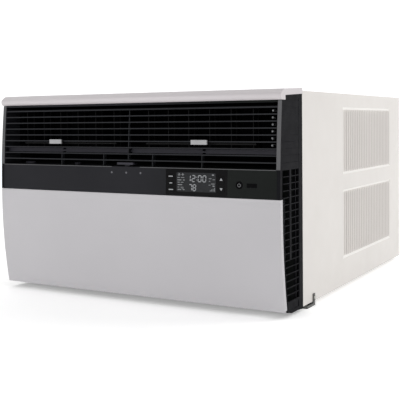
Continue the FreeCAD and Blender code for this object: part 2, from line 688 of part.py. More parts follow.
def keys():
    """Five panel keys and the round power key, each a cap on a stem that pushes a switch."""
    for label, (across, up) in KEYS.items():
        cap = block(across, (FACE_Y + " - 0.3", FACE_Y + " + 2"), up)
        stem_x = "(%s + %s) / 2" % across
        stem_z = "(%s + %s) / 2" % up
        stem = rod("y", (stem_x, FACE_Y + " + 1", stem_z), "7.8", "1.4")
        node(join([cap, stem]), label)
    cap = rod("y", ("power_x", "nose_y + 0.1", "power_z"), "3.4", "power_key")
    stem = rod("y", ("power_x", "nose_y + 3", "power_z"), "6.7", "1.6")
    node(join([cap, stem]), "key_power")


def display_board():
    """Circuit board behind the band with a switch under each key and the infra-red receiver."""
    plate = block(("86", "292"), ("-86.4", "-84.8"), ("213", "258"))
    switches = [block(("(%s + %s) / 2 - 3" % across, "(%s + %s) / 2 + 3" % across), ("-89.3", "-86.4"),
                      ("(%s + %s) / 2 - 3" % up, "(%s + %s) / 2 + 3" % up)) for across, up in KEYS.values()]
    switches.append(block(("power_x - 3", "power_x + 3"), ("-89.3", "-86.4"), ("power_z - 3", "power_z + 3")))
    receiver = block(("269", "278"), ("-92", "-86.4"), ("228.5", "237.5"))
    node(join([plate] + switches + [receiver]), "display_board")


def lcd_module():
    """Liquid crystal display behind the glossy window."""
    node(block(("112", "201"), (FACE_Y + " + 2.4", FACE_Y + " + 8"), ("214", "254")), "lcd_module")


def ir_window():
    """Dark clear window in front of the infra-red receiver."""
    node(block(("263", "283.5"), ("nose_y + 0.4", "nose_y + 2.6"), ("229", "237")), "ir_window")


def air_filter():
    """Ribbed frame that holds the filter net in front of the indoor coil."""
    body = new_body("air_filter")
    frame = new_sketch(body, "XZ_Plane", "28")
    rectangle(frame, ("-306", "306"), ("6", "207"))
    rectangle(frame, ("-298", "298"), ("14", "199"))
    pad(body, frame, "7")
    rib = new_sketch(body, "XZ_Plane", "32")
    rectangle(rib, ("-249.5", "-246.5"), ("12", "201"))
    upright = pad(body, rib, "3")
    row_pattern(body, [upright], "X_Axis", "496", 9)
    cross = new_sketch(body, "XZ_Plane", "32")
    rectangle(cross, ("-300", "300"), ("105", "108"))
    pad(body, cross, "3")


def filter_mesh():
    """Net of the filter, welded behind its ribs."""
    node(block(("-297.8", "297.8"), ("-31.8", "-30.8"), ("14.2", "198.8")), "filter_mesh")


def cord_gland():
    """Rubber bush of the supply cord's way out through the bottom lip."""
    neck = rod("z", (GLAND_X, GLAND_Y, "-5"), "8.4", "7.9")
    flange = rod("z", (GLAND_X, GLAND_Y, "0"), "3.4", "11")
    bore = rod("z", (GLAND_X, GLAND_Y, "-6"), "14", "4.6")
    node(less(join([neck, flange]), [bore]), "cord_gland")


# ---- chassis ----

PIPE_HOLES = (("304", "100", "9"), ("309", "29", "6"))
STUDS = [(sign_x % "foot_half_x", sign_y % "foot_half_y") for sign_x in SIGNS for sign_y in SIGNS]
BRACKET_HOLES = [(across, along) for across in ("axis_x - 74", "axis_x + 74") for along in ("188", "246")]


def pan_floor():
    """Floor sheet that carries the chassis and holds the condensate."""
    body = loose_body("pan_floor")
    tray = new_sketch(body, "XY_Plane", "pan_low")
    rectangle(tray, ("-pan_half", "pan_half"), ("pan_front", "pan_rear"))
    pad(body, tray, "pan_sheet")
    holes = new_sketch(body, "XY_Plane")
    for across, along in BRACKET_HOLES:
        circle(holes, across, along, "2.1")
    circle(holes, "-270", "520", "9")
    pocket(body, holes, "10", reverse=True)
    return body


def pan_rims():
    """Four strips that stand on the edges of the floor sheet."""
    height = ("pan_low + pan_sheet", "pan_low + pan_rim")
    along = ("pan_front", "pan_rear")
    across = ("-(pan_half - pan_sheet)", "pan_half - pan_sheet")
    return [block(("-pan_half", "-(pan_half - pan_sheet)"), along, height),
            block(("pan_half - pan_sheet", "pan_half"), along, height),
            block(across, ("pan_front", "pan_front + pan_sheet"), height),
            block(across, ("pan_rear - pan_sheet", "pan_rear"), height)]


def pan_studs():
    """Weld studs that hold the compressor."""
    return [rod("z", ("comp_x + (%s)" % across, "comp_y + (%s)" % along, "pan_low + pan_sheet"), "33.6", "stud")
            for across, along in STUDS]


def base_pan():
    """The chassis floor with its rims and the studs welded to it."""
    node(group([pan_floor()] + pan_rims() + pan_studs()), "base_pan")


def bulkhead():
    """Sheet wall between the indoor and the outdoor side."""
    body = new_body("bulkhead")
    sheet = new_sketch(body, "XZ_Plane", "-bulkhead_y")
    rectangle(sheet, ("-318", "318"), ("pan_low + pan_sheet + 0.2", "396"))
    circle(sheet, "axis_x", "axis_z", "26")
    rectangle(sheet, ("-286", "-234"), ("333", "361"))
    for across, up, size in PIPE_HOLES:
        circle(sheet, across, up, size)
    pad(body, sheet, "1.5", reverse=True)
    ears = new_sketch(body, "YZ_Plane", "-294")
    circle(ears, "bulkhead_y + 4.6", "365", "3.8")
    circle(ears, "bulkhead_y + 4.6", "365", "1.56")
    pad(body, ears, "2")
    far_ears = new_sketch(body, "YZ_Plane", "-228")
    circle(far_ears, "bulkhead_y + 4.6", "365", "3.8")
    circle(far_ears, "bulkhead_y + 4.6", "365", "1.56")
    pad(body, far_ears, "2")


def scroll_housing():
    """Volute round the blower wheel with an inlet in front and a throat up to the outlet duct."""
    y_outer = ("scroll_front", "scroll_back")
    y_inner = ("scroll_front + plastic", "scroll_back - plastic")
    drum = rod("y", ("axis_x", y_outer[0], "axis_z"), "scroll_back - scroll_front", "scroll + plastic")
    throat = block(("axis_x - scroll - plastic", "185"), y_outer, ("axis_z", "388"))
    hollow = rod("y", ("axis_x", y_inner[0], "axis_z"), "scroll_back - scroll_front - 2 * plastic", "scroll")
    shaft_room = block(("axis_x - scroll", "185 - plastic"), y_inner, ("axis_z + 20", "388 - plastic"))
    inlet = rod("y", ("axis_x", "scroll_front - 1", "axis_z"), "plastic + 2", "wheel - 16")
    way_back = rod("y", ("axis_x", "scroll_back - plastic - 1", "axis_z"), "plastic + 2", "14")
    outlet = block(("axis_x - scroll", "185 - plastic"), ("scroll_front - 1", "scroll_front + plastic + 1"),
                   ("272", "380"))
    node(less(join([drum, throat]), [hollow, shaft_room, inlet, way_back, outlet]), "scroll_housing")


def discharge_duct():
    """Open-fronted duct, of flat walls, that spreads the air from the scroll to the full width of the grille."""
    deep = ("-43", "scroll_front - 0.2")
    rear = ("scroll_front - 2.2", "scroll_front - 0.2")
    gap_left, gap_right = "axis_x - scroll", "185 - plastic"
    across = [block(("-318", "318"), deep, high) for high in (("263", "265"), ("384", "386"))]
    ends = [block(wide, deep, ("265", "384")) for wide in (("-318", "-316"), ("316", "318"))]
    beside = [block(wide, rear, ("265", "384")) for wide in (("-316", gap_left), (gap_right, "316"))]
    over_and_under = [block((gap_left, gap_right), rear, high) for high in (("265", "272"), ("380", "384"))]
    node(group(across + ends + beside + over_and_under), "discharge_duct")


def coil_tube_places(high, rows):
    """Heights of the tube rows of a coil."""
    return ["coil_low + (%s) * %.4f" % (high, (row + 0.5) / rows) for row in range(rows)]


def coil_fins(label, half, front, high, rows):
    """Fin plates on the tubes' pitch, tied together by a strip along the top and the bottom."""
    body = new_body(label)
    plate = new_sketch(body, "YZ_Plane", "-(%s)" % half)
    rectangle(plate, (front, front + " + coil_deep"), ("coil_low", "coil_low + " + high))
    for column in ("-", "+"):
        along = "%s + coil_deep / 2 %s row_gap / 2" % (front, column)
        for height in coil_tube_places(high, rows):
            circle(plate, along, height, "tube + 0.1")
    fin = pad(body, plate, "1")
    row_pattern(body, [fin], "X_Axis", "2 * %s - 1" % half, 21)
    for low in ("coil_low", "coil_low + %s - 1" % high):
        strip = new_sketch(body, "XY_Plane", low)
        rectangle(strip, ("-(%s)" % half, half), (front, front + " + coil_deep"))
        pad(body, strip, "1")


def coil_tubes(label, half, front, high, rows):
    """One tube that runs up the front row of a coil and down its rear row; both ends are low on the right."""
    heights = [worth(text) for text in coil_tube_places(high, rows)]
    bend = (heights[1] - heights[0]) / 2
    side = worth(half) - 12 + bend
    corners = []
    for column in (-1, 1):
        along = worth("%s + coil_deep / 2" % front) + column * worth("row_gap") / 2
        climb = [(side, along, heights[0])]
        for index, height in enumerate(heights):
            end = -side if index % 2 == 0 else side
            climb.append((end, along, height))
            if index + 1 < rows:
                climb.append((end, along, heights[index + 1]))
        corners += climb if column == -1 else climb[::-1]
    set_shape(label, tube_along(bend_path(corners, bend), worth("tube"), worth("tube_wall")))


def compressor():
    """Rotary compressor can on a foot plate, hollow round its works, with the accumulator beside it."""
    spot = ("comp_x", "comp_y")
    can = less(rod("z", spot + ("44",), "216", "comp"), [rod("z", spot + ("60",), "184", "comp - 13")])
    lower = taper(spot + ("30",), "14", "comp - 24", "comp")
    upper = taper(spot + ("260",), "18", "comp", "comp - 26")
    crown = rod("z", spot + ("278",), "6", "14")
    plate = block(("comp_x - foot_half_x - 14", "comp_x + foot_half_x + 14"),
                  ("comp_y - foot_half_y - 12", "comp_y + foot_half_y + 12"), ("27", "30"))
    bore = [rod("z", ("comp_x + (%s)" % across, "comp_y + (%s)" % along, "26"), "5", "stud + 0.3")
            for across, along in STUDS]
    bottle = rod("z", ("comp_x - 30", "comp_y - comp - 34", "110"), "130", "24")
    saddle = block(("comp_x - 36", "comp_x - 14"), ("comp_y - comp - 20", "comp_y - comp + 14"), ("170", "186"))
    elbow = rod("y", ("comp_x - 30", "comp_y - comp - 34", "96"), "50", "6")
    drop = rod("z", ("comp_x - 30", "comp_y - comp - 34", "96"), "20", "6")
    node(join([can, lower, upper, crown, less(plate, bore), bottle, saddle, elbow, drop]), "compressor")


def compressor_mounts():
    """Rubber grommets that the compressor stands on, with a nut on each stud."""
    pieces = []
    for across, along in STUDS:
        spot = ("comp_x + (%s)" % across, "comp_y + (%s)" % along)
        low = "pan_low + pan_sheet"
        bush = rod("z", spot + (low,), "27 - (%s)" % low, "11")
        pieces.append(less(bush, [rod("z", spot + (low + " - 1",), "30", "stud + 0.2")]))
        nut = rod("z", spot + ("30.2",), "5", "7")
        pieces.append(less(nut, [rod("z", spot + ("29",), "8", "stud + 0.05")]))
    node(group(pieces), "compressor_mounts")


def refrigerant_lines():
    """Suction, discharge and liquid lines between the compressor and the coils, with the drier on the last."""
    can_x = worth("comp_x")
    can_y = worth("comp_y")
    bottle = (can_x - 30, worth("comp_y - comp - 34"))
    evap_end = worth("evap_half") - 12 + worth("evap_high") / 16 + 0.4
    evap_low = worth("coil_low") + worth("evap_high") / 16
    evap_rows = [worth("evap_front + coil_deep / 2") + sign * worth("row_gap") / 2 for sign in (-1, 1)]
    cond_end = worth("cond_half") - 12 + worth("cond_high") / 24 + 0.4
    cond_low = worth("coil_low") + worth("cond_high") / 24
    cond_rows = [worth("cond_front + coil_deep / 2") + sign * worth("row_gap") / 2 for sign in (-1, 1)]
    suction = [(evap_end, evap_rows[1], evap_low), (304, evap_rows[1], evap_low), (304, evap_rows[1], 100),
               (304, 200, 100), (304, 200, 262), bottle + (262,), bottle + (240.2,)]
    set_shape("suction_line", tube_along(bend_path(suction, 14), 5.5, 1.0))
    discharge = [(can_x, can_y, 284.2), (can_x, can_y, 330), (309, 400, 330), (309, 400, 368),
                 (309, cond_rows[1], 368), (309, cond_rows[1], cond_low), (cond_end, cond_rows[1], cond_low)]
    set_shape("discharge_line", tube_along(bend_path(discharge, 14), 4.2, 0.8))
    liquid = [(cond_end, cond_rows[0], cond_low), (309, cond_rows[0], cond_low), (309, 60, cond_low), (309, 60, 12),
              (309, evap_rows[0], 12), (309, evap_rows[0], evap_low), (evap_end, evap_rows[0], evap_low)]
    pipe = tube_along(bend_path(liquid, 10), 3.2, 0.7)
    drier = Part.makeCylinder(8.5, 76, FreeCAD.Vector(309, 330, cond_low), FreeCAD.Vector(0, 1, 0))
    drier = drier.cut(Part.makeCylinder(3.2, 78, FreeCAD.Vector(309, 329, cond_low), FreeCAD.Vector(0, 1, 0)))
    set_shape("liquid_line", pipe.fuse(drier))


def fan_motor():
    """Motor can, hollow round its rotor, with end bosses and a bore for the shaft."""
    can = less(rod("y", ("axis_x", "motor_front", "axis_z"), "motor_deep", "motor"),
               [rod("y", ("axis_x", "motor_front + 10", "axis_z"), "motor_deep - 20", "motor - 12")])
    bosses = rod("y", ("axis_x", "motor_front - 10", "axis_z"), "motor_deep + 20", "22")
    bore = rod("y", ("axis_x", "motor_front - 20", "axis_z"), "motor_deep + 40", "shaft_bore")
    node(less(join([can, bosses]), [bore]), "fan_motor")


def motor_bracket():
    """Cradle that carries the motor on the base pan."""
    low = "pan_low + pan_sheet"
    base = block(("axis_x - 84", "axis_x + 84"), ("180", "254"), (low, low + " + 2"))
    walls = [block(("axis_x - 56", "axis_x + 56"), (front, front + " + 2.5"), (low + " + 1", "axis_z + 4"))
             for front in ("194", "238")]
    room = rod("y", ("axis_x", "180", "axis_z"), "90", "motor + 0.2")
    holes = [rod("z", (across, along, "0"), "12", "2.1") for across, along in BRACKET_HOLES]
    node(less(join([base] + walls), [room] + holes), "motor_bracket")


def chassis_screws():
    """Screws that hold the motor cradle to the pan."""
    low = "pan_low + pan_sheet"
    node(group([screw("z", across, along, "pan_low + 0.2", "%s + 2 - pan_low - 0.2" % low, False)
                for across, along in BRACKET_HOLES]), "chassis_screws")


def orifice_plate():
    """Plate with the collared hole that the outdoor fan blows through."""
    plate = block(("-318", "318"), ("456", "458"), ("4.4", "392"))
    collar = less(rod("y", ("axis_x", "446", "axis_z"), "11", "fan + 9"),
                  [rod("y", ("axis_x", "443", "axis_z"), "16", "fan + 7")])
    orifice = rod("y", ("axis_x", "455", "axis_z"), "5", "fan + 7")
    pipe_ways = [rod("y", ("309", "450", height), "20", "5.4") for height in ("368", "29.5")]
    return less(join([plate, collar]), [orifice] + pipe_ways)


def shroud_walls():
    """Walls that lead the air from the fan to the outdoor coil."""
    along = ("458", "573")
    return [block(("-318", "318"), along, ("389", "391")),
            block(("-318", "-316"), along, ("27", "389")),
            block(("316", "318"), along, ("27", "389"))]


def fan_shroud():
    """The moulding round the outdoor fan: its orifice plate, top and sides."""
    node(group([orifice_plate()] + shroud_walls()), "fan_shroud")


def control_box():
    """Folded box for the electrical parts, open to the front."""
    shell = block(("196", "294"), ("42", "150"), ("140", "384"))
    room = block(("197.2", "292.8"), ("41", "148.8"), ("141.2", "382.8"))
    node(less(shell, [room]), "control_box")


def control_board():
    """Main board with its transformer, relays and the run capacitor beside it."""
    plate = block(("202", "288"), ("138", "139.6"), ("150", "372"))
    transformer = block(("212", "252"), ("104", "138.2"), ("320", "362"))
    relays = [block(("266", "286"), ("118", "138.2"), (low, low + " + 26")) for low in ("320", "288", "256")]
    capacitor = rod("z", ("228", "100", "160"), "90", "21")
    clip = block(("222", "234"), ("118", "138.2"), ("196", "212"))
    node(join([plate, transformer] + relays + [capacitor, clip]), "control_board")


# ---- rotor ----

def motor_shaft():
    """Shaft through the motor that carries the blower wheel in front and the fan behind."""
    node(rod("y", ("axis_x", "wheel_front - 4", "axis_z"), "fan_front + fan_deep + 6 - wheel_front", "shaft"),
         "motor_shaft")


def blower_wheel():
    """Drum of forward-curved blades between a back plate and a front ring."""
    body = new_body("blower_wheel")
    bind(body, Placement__Base__x="axis_x", Placement__Base__z="axis_z + " + DATUM_Z)
    back = new_sketch(body, "XZ_Plane", "-(wheel_front + wheel_deep - 2)")
    circle(back, "0", "0", "wheel")
    circle(back, "0", "0", "shaft + 0.02")
    pad(body, back, "2", reverse=True)
    hub = new_sketch(body, "XZ_Plane", "-(wheel_front + wheel_deep - 24)")
    circle(hub, "0", "0", "16")
    circle(hub, "0", "0", "shaft + 0.02")
    pad(body, hub, "23", reverse=True)
    ring = new_sketch(body, "XZ_Plane", "-wheel_front")
    circle(ring, "0", "0", "wheel")
    circle(ring, "0", "0", "wheel - 15")
    pad(body, ring, "2", reverse=True)
    blade = new_sketch(body, "XZ_Plane", "-(wheel_front + 1)")
    outline(blade, [["wheel - 14", "-1.2"], ["wheel - 1", "2.8"], ["wheel - 1", "4.3"], ["wheel - 14", "0.3"]])
    one = pad(body, blade, "wheel_deep - 2", reverse=True)
    ring_pattern(body, [one], "Y_Axis", 40)


def condenser_fan():
    """Axial fan with twisted blades and a slinger ring round their tips."""
    body = new_body("condenser_fan")
    bind(body, Placement__Base__x="axis_x", Placement__Base__z="axis_z + " + DATUM_Z)
    hub = new_sketch(body, "XZ_Plane", "-fan_front")
    circle(hub, "0", "0", "34")
    circle(hub, "0", "0", "shaft + 0.02")
    pad(body, hub, "fan_deep", reverse=True)
    ring = new_sketch(body, "XZ_Plane", "-(fan_front + 3)")
    circle(ring, "0", "0", "fan")
    circle(ring, "0", "0", "fan - 2.5")
    pad(body, ring, "28", reverse=True)
    blade = body.newObject("PartDesign::AdditiveLoft", "blade")
    stations = []
    for radius, half_chord, slope in (("30", "17", "0.80"), ("90", "30", "0.46"), ("fan - 7", "38", "0.30")):
        section = new_sketch(body, "YZ_Plane", radius)
        rise = "(%s) * %s" % (half_chord, slope)
        middle = "fan_front + fan_deep / 2"
        outline(section, [["%s - %s - 1" % (middle, rise), "-" + half_chord],
                          ["%s - %s + 1" % (middle, rise), "-" + half_chord],
                          ["%s + %s + 1" % (middle, rise), half_chord],
                          ["%s + %s - 1" % (middle, rise), half_chord]])
        stations.append(section)
    blade.Profile = stations[0]
    blade.Sections = stations[1:]
    blade.Ruled = True
    ring_pattern(body, [blade], "Y_Axis", 5)


def build():
    cabinet_shell()
    sill_rails()
    rear_grille()
    cabinet_screws()
    front_bezel()
    top_trim()
    front_door()
    discharge_grille()
    vane_deck()
    for side, places in (("left", VANE_PLACES[:6]), ("right", VANE_PLACES[6:])):
        for number, place_x in enumerate(places, start=1):
            vane("vane_%s_%d" % (side, number), place_x)
        vane_link("vane_link_" + side, places, LEVERS[side])
    vent_lever()
    vent_flap()
    display_panel()
    keys()
    display_board()
    lcd_module()
    ir_window()
    air_filter()
    filter_mesh()
    cord_gland()
    base_pan()
    bulkhead()
    scroll_housing()
    discharge_duct()
    coil_fins("evaporator_fins", "evap_half", "evap_front", "evap_high", 8)
    coil_tubes("evaporator_tubes", "evap_half", "evap_front", "evap_high", 8)
    coil_fins("condenser_fins", "cond_half", "cond_front", "cond_high", 12)
    coil_tubes("condenser_tubes", "cond_half", "cond_front", "cond_high", 12)
    compressor()
    compressor_mounts()
    refrigerant_lines()
    fan_motor()
    motor_bracket()
    chassis_screws()
    fan_shroud()
    control_box()
    control_board()
    motor_shaft()
    blower_wheel()
    condenser_fan()


def check_and_write():
    """Refuse a failed object or a bad shape, then write one file for each sub-part."""
    DOC.recompute()
    for thing in DOC.Objects:
        if "Invalid" in thing.State or "Error" in thing.State:
            raise RuntimeError("%s (%s) failed: %s" % (thing.Name, thing.Label, thing.State))
    os.makedirs("parts", exist_ok=True)
    for thing in NODES:
        shape = thing.Shape
        if shape.isNull() or not shape.isValid() or shape.Volume <= 0:
            raise RuntimeError("%s has no valid shape" % thing.Label)
        shape.exportStep("parts/%s.step" % thing.Label)
        print("%-20s solids %3d volume %12.1f" % (thing.Label, len(shape.Solids), shape.Volume))
    print("nodes", len(NODES))


build()
check_and_write()
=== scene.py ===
import json
import math

import bmesh
import bpy
from mathutils import Matrix, Vector


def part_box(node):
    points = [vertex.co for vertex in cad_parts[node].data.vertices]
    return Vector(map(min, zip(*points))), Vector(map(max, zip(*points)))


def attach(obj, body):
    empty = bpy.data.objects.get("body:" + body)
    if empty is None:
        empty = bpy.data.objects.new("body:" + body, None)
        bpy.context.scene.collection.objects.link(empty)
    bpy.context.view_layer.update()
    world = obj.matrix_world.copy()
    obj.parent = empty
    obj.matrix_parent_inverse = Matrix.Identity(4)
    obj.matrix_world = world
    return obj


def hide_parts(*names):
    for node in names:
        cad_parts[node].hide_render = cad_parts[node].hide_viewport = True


# Looks of a window air conditioner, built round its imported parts. Metres; -y faces the room, z is up.

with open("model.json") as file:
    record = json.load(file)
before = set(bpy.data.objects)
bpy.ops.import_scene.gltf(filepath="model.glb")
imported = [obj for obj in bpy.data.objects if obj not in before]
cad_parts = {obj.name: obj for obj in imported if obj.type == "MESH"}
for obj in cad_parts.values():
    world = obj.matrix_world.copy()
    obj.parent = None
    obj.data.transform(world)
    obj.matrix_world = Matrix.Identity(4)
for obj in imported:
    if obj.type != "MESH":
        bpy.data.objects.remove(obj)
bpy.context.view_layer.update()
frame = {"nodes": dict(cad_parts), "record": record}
MM = 0.001

SHELL_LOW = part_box("cabinet_shell")[0]
EDGE_Y = SHELL_LOW.y
BASE_Z = SHELL_LOW.z

# The front bulges towards the room in two arcs that meet at its foremost line. Millimetres.
FRONT_REACH = 100
FRONT_MIDDLE = 192
ARC_ABOVE = 1780
ARC_BELOW = 1035


def at(x, y, z):
    """A point in metres, from millimetres off mid width, the cabinet's front edge and its underside."""
    return Vector((x * MM, EDGE_Y + y * MM, BASE_Z + z * MM))


def front(z):
    """Place of the curved front along y, at a height above the cabinet's underside, in millimetres."""
    rise = z - FRONT_MIDDLE
    arc = ARC_ABOVE if rise > 0 else ARC_BELOW
    return -FRONT_REACH + arc - math.sqrt(arc * arc - rise * rise)


# ---- materials ----

SPARK_GRAIN = 2600
FLOW = 9
EDGE_WIDTH = 0.6 * MM


def linear(*srgb):
    """A colour for a shader from 0 to 255 screen values."""
    parts = [value / 255 for value in srgb]
    return tuple(p / 12.92 if p <= 0.04045 else ((p + 0.055) / 1.055) ** 2.4 for p in parts) + (1.0,)


def shade(colour, factor):
    """The same colour, lighter or darker."""
    return tuple(min(1.0, part * factor) for part in colour[:3]) + (1.0,)


class Nodes:
    """A small material graph round one principled shader."""

    def __init__(self, name, rough, metallic=0.0):
        self.material = bpy.data.materials.new(name)
        self.material.use_nodes = True
        self.tree = self.material.node_tree
        self.shader = self.tree.nodes["Principled BSDF"]
        self.shader.inputs["Roughness"].default_value = rough
        self.shader.inputs["Metallic"].default_value = metallic
        self.place = self.add("ShaderNodeTexCoord").outputs["Object"]

    def specular(self, level):
        self.shader.inputs["Specular IOR Level"].default_value = level

    def emission(self, strength):
        self.shader.inputs["Emission Strength"].default_value = strength

    def add(self, kind, **settings):
        node = self.tree.nodes.new(kind)
        for name, value in settings.items():
            setattr(node, name, value)
        return node

    def link(self, source, target):
        self.tree.links.new(source, target)

    def stretched(self, scale):
        """Object coordinates scaled differently along each axis."""
        mapping = self.add("ShaderNodeMapping")
        mapping.inputs["Scale"].default_value = scale
        self.link(self.place, mapping.inputs["Vector"])
        return mapping.outputs["Vector"]

    def noise(self, scale, detail=3.0, stretch=None):
        noise = self.add("ShaderNodeTexNoise")
        noise.inputs["Scale"].default_value = scale
        noise.inputs["Detail"].default_value = detail
        self.link(self.stretched(stretch) if stretch else self.place, noise.inputs["Vector"])
        return noise.outputs["Fac"]

    def ramp(self, source, stops):
        """A colour or number ramp over (position, colour) stops."""
        ramp = self.add("ShaderNodeValToRGB")
        while len(ramp.color_ramp.elements) < len(stops):
            ramp.color_ramp.elements.new(0.5)
        for element, (position, colour) in zip(ramp.color_ramp.elements, stops):
            element.position = position
            element.color = colour if isinstance(colour, tuple) else (colour, colour, colour, 1.0)
        self.link(source, ramp.inputs["Fac"])
        return ramp.outputs["Color"]

    def mix(self, factor, first, second):
        """Blend two colours, each a socket or a plain colour."""
        mixer = self.add("ShaderNodeMix", data_type="RGBA")
        self.link(factor, mixer.inputs["Factor"])
        for value, name in ((first, "A"), (second, "B")):
            socket = [s for s in mixer.inputs if s.name == name and s.type == "RGBA"][0]
            if isinstance(value, tuple):
                socket.default_value = value
            else:
                self.link(value, socket)
        return [s for s in mixer.outputs if s.type == "RGBA"][0]

    def edges(self, width):
        """1 along edges and 0 on flats, from how far a rounded normal leans off the true one."""
        rounded = self.add("ShaderNodeBevel", samples=4)
        rounded.inputs["Radius"].default_value = width
        true = self.add("ShaderNodeNewGeometry")
        lean = self.add("ShaderNodeVectorMath", operation="DOT_PRODUCT")
        self.link(rounded.outputs["Normal"], lean.inputs[0])
        self.link(true.outputs["Normal"], lean.inputs[1])
        return self.ramp(lean.outputs["Value"], [(0.80, 1.0), (0.985, 0.0)])

    def axes(self):
        """Object coordinates apart, as outputs X, Y and Z."""
        apart = self.add("ShaderNodeSeparateXYZ")
        self.link(self.place, apart.inputs["Vector"])
        return apart.outputs

    def between(self, source, low, high):
        """0 to 1 as a number goes from low to high."""
        spread = self.add("ShaderNodeMapRange")
        spread.inputs["From Min"].default_value = low
        spread.inputs["From Max"].default_value = high
        self.link(source, spread.inputs["Value"])
        return spread.outputs["Result"]

    def cells(self, scale):
        """Outputs of a pattern of cells."""
        pattern = self.add("ShaderNodeTexVoronoi")
        pattern.inputs["Scale"].default_value = scale
        self.link(self.place, pattern.inputs["Vector"])
        return pattern.outputs

    def height(self, *layers):
        """Bump from several (source, distance) layers, one over the other."""
        previous = None
        for source, distance in layers:
            bump = self.add("ShaderNodeBump")
            bump.inputs["Distance"].default_value = distance
            self.link(source, bump.inputs["Height"])
            if previous:
                self.link(previous, bump.inputs["Normal"])
            previous = bump.outputs["Normal"]
        self.link(previous, self.shader.inputs["Normal"])

    def colour(self, source):
        self.link(source, self.shader.inputs["Base Color"])

    def roughness(self, source, low, high):
        self.link(self.ramp(source, [(0.3, low), (0.7, high)]), self.shader.inputs["Roughness"])


def moulded(name, colour, rough, grain=0.00003, worn=1.25, patch=0.04, specular=0.5):
    """Moulded plastic: fine spark-eroded grain, slight flow marks, and rubbed edges."""
    n = Nodes(name, rough)
    n.specular(specular)
    base = n.ramp(n.noise(FLOW, 2.0), [(0.3, shade(colour, 1 - patch)), (0.7, shade(colour, 1 + patch))])
    n.colour(n.mix(n.edges(EDGE_WIDTH), base, shade(colour, worn)))
    n.roughness(n.noise(60, 4.0), rough - 0.05, rough + 0.05)
    n.height((n.noise(SPARK_GRAIN, 2.0), grain))
    return n.material


def enamel(name, colour, rough, worn=0.93):
    """Baked paint on sheet steel: orange peel, faint handling marks and slightly thin edges."""
    n = Nodes(name, rough)
    marks = n.noise(6, 5.0)
    base = n.ramp(marks, [(0.35, shade(colour, 0.975)), (0.65, shade(colour, 1.015))])
    n.colour(n.mix(n.edges(0.8 * MM), base, shade(colour, worn)))
    n.roughness(n.noise(35, 4.0), rough - 0.05, rough + 0.06)
    n.height((n.noise(520, 2.0), 0.00004), (n.noise(60, 2.0), 0.0001))
    return n.material


def galvanised(name, colour, rough=0.38):
    """Zinc-coated sheet with its spangle."""
    n = Nodes(name, rough, 0.9)
    tint = n.add("ShaderNodeRGBToBW")
    n.link(n.cells(170)["Color"], tint.inputs["Color"])
    base = n.ramp(tint.outputs["Val"], [(0.2, shade(colour, 0.82)), (0.8, shade(colour, 1.12))])
    stains = n.ramp(n.noise(14, 5.0), [(0.55, 0.0), (0.8, 0.5)])
    n.colour(n.mix(stains, base, shade(colour, 0.6)))
    n.roughness(tint.outputs["Val"], rough - 0.08, rough + 0.12)
    n.height((n.noise(300, 2.0), 0.00003))
    return n.material


def bare_metal(name, colour, rough, stretch=(1, 1, 1), stained=0.7):
    """Drawn or rolled metal with marks along its length and some tarnish."""
    n = Nodes(name, rough, 1.0)
    lines = n.noise(300, 4.0, stretch)
    base = n.ramp(lines, [(0.3, shade(colour, 0.85)), (0.7, shade(colour, 1.08))])
    tarnish = n.ramp(n.noise(22, 5.0), [(0.5, 0.0), (0.75, 0.6)])
    n.colour(n.mix(tarnish, base, shade(colour, stained)))
    n.roughness(n.noise(90, 4.0), rough - 0.08, rough + 0.1)
    n.height((lines, 0.00002))
    return n.material


def fin_stock(name):
    """Thin aluminium sheet of the coils, with handling dents and a trace of dust."""
    n = Nodes(name, 0.36, 0.9)
    dust = n.ramp(n.noise(40, 5.0), [(0.4, 0.0), (0.75, 0.7)])
    n.colour(n.mix(dust, linear(188, 191, 194), linear(150, 148, 143)))
    n.roughness(n.noise(120, 3.0), 0.3, 0.5)
    n.height((n.noise(240, 2.0), 0.00008))
    return n.material


def expanded_foam(name, pale, deep, specular=0.4):
    """Moulded bead foam."""
    n = Nodes(name, 0.9)
    n.specular(specular)
    beads = n.cells(330)["Distance"]
    n.colour(n.ramp(beads, [(0.0, pale), (0.7, deep)]))
    n.height((beads, -0.0003))
    return n.material


def rubber(name):
    """Dull moulded rubber."""
    n = Nodes(name, 0.75)
    n.colour(n.ramp(n.noise(70, 4.0), [(0.3, linear(26, 26, 27)), (0.75, linear(44, 44, 45))]))
    n.height((n.noise(900, 2.0), 0.00005))
    return n.material


def circuit_board(name):
    """Green solder mask over faint copper tracks."""
    n = Nodes(name, 0.4)
    tracks = n.add("ShaderNodeTexBrick", offset=0.37, squash=1.0)
    for socket, value in (("Scale", 130.0), ("Mortar Size", 0.03), ("Color1", linear(22, 84, 48)),
                          ("Color2", linear(26, 92, 54)), ("Mortar", linear(64, 128, 74))):
        tracks.inputs[socket].default_value = value
    n.link(n.place, tracks.inputs["Vector"])
    n.colour(n.mix(n.ramp(n.noise(30, 3.0), [(0.4, 0.0), (0.7, 0.5)]), tracks.outputs["Color"],
                   linear(18, 70, 40)))
    n.height((tracks.outputs["Fac"], 0.00004))
    return n.material


def glossy(name, colour, rough=0.12, specular=0.12, coat=0.1):
    """Polished acrylic with faint wipe marks."""
    n = Nodes(name, rough)
    n.specular(specular)
    n.colour(n.ramp(n.noise(25, 3.0), [(0.3, shade(colour, 0.9)), (0.7, shade(colour, 1.1))]))
    n.roughness(n.noise(50, 5.0, (1, 3, 1)), max(0.04, rough - 0.05), rough + 0.08)
    n.shader.inputs["Coat Weight"].default_value = coat
    n.shader.inputs["Coat Roughness"].default_value = 0.08
    n.height((n.noise(18, 2.0), 0.00004))
    return n.material


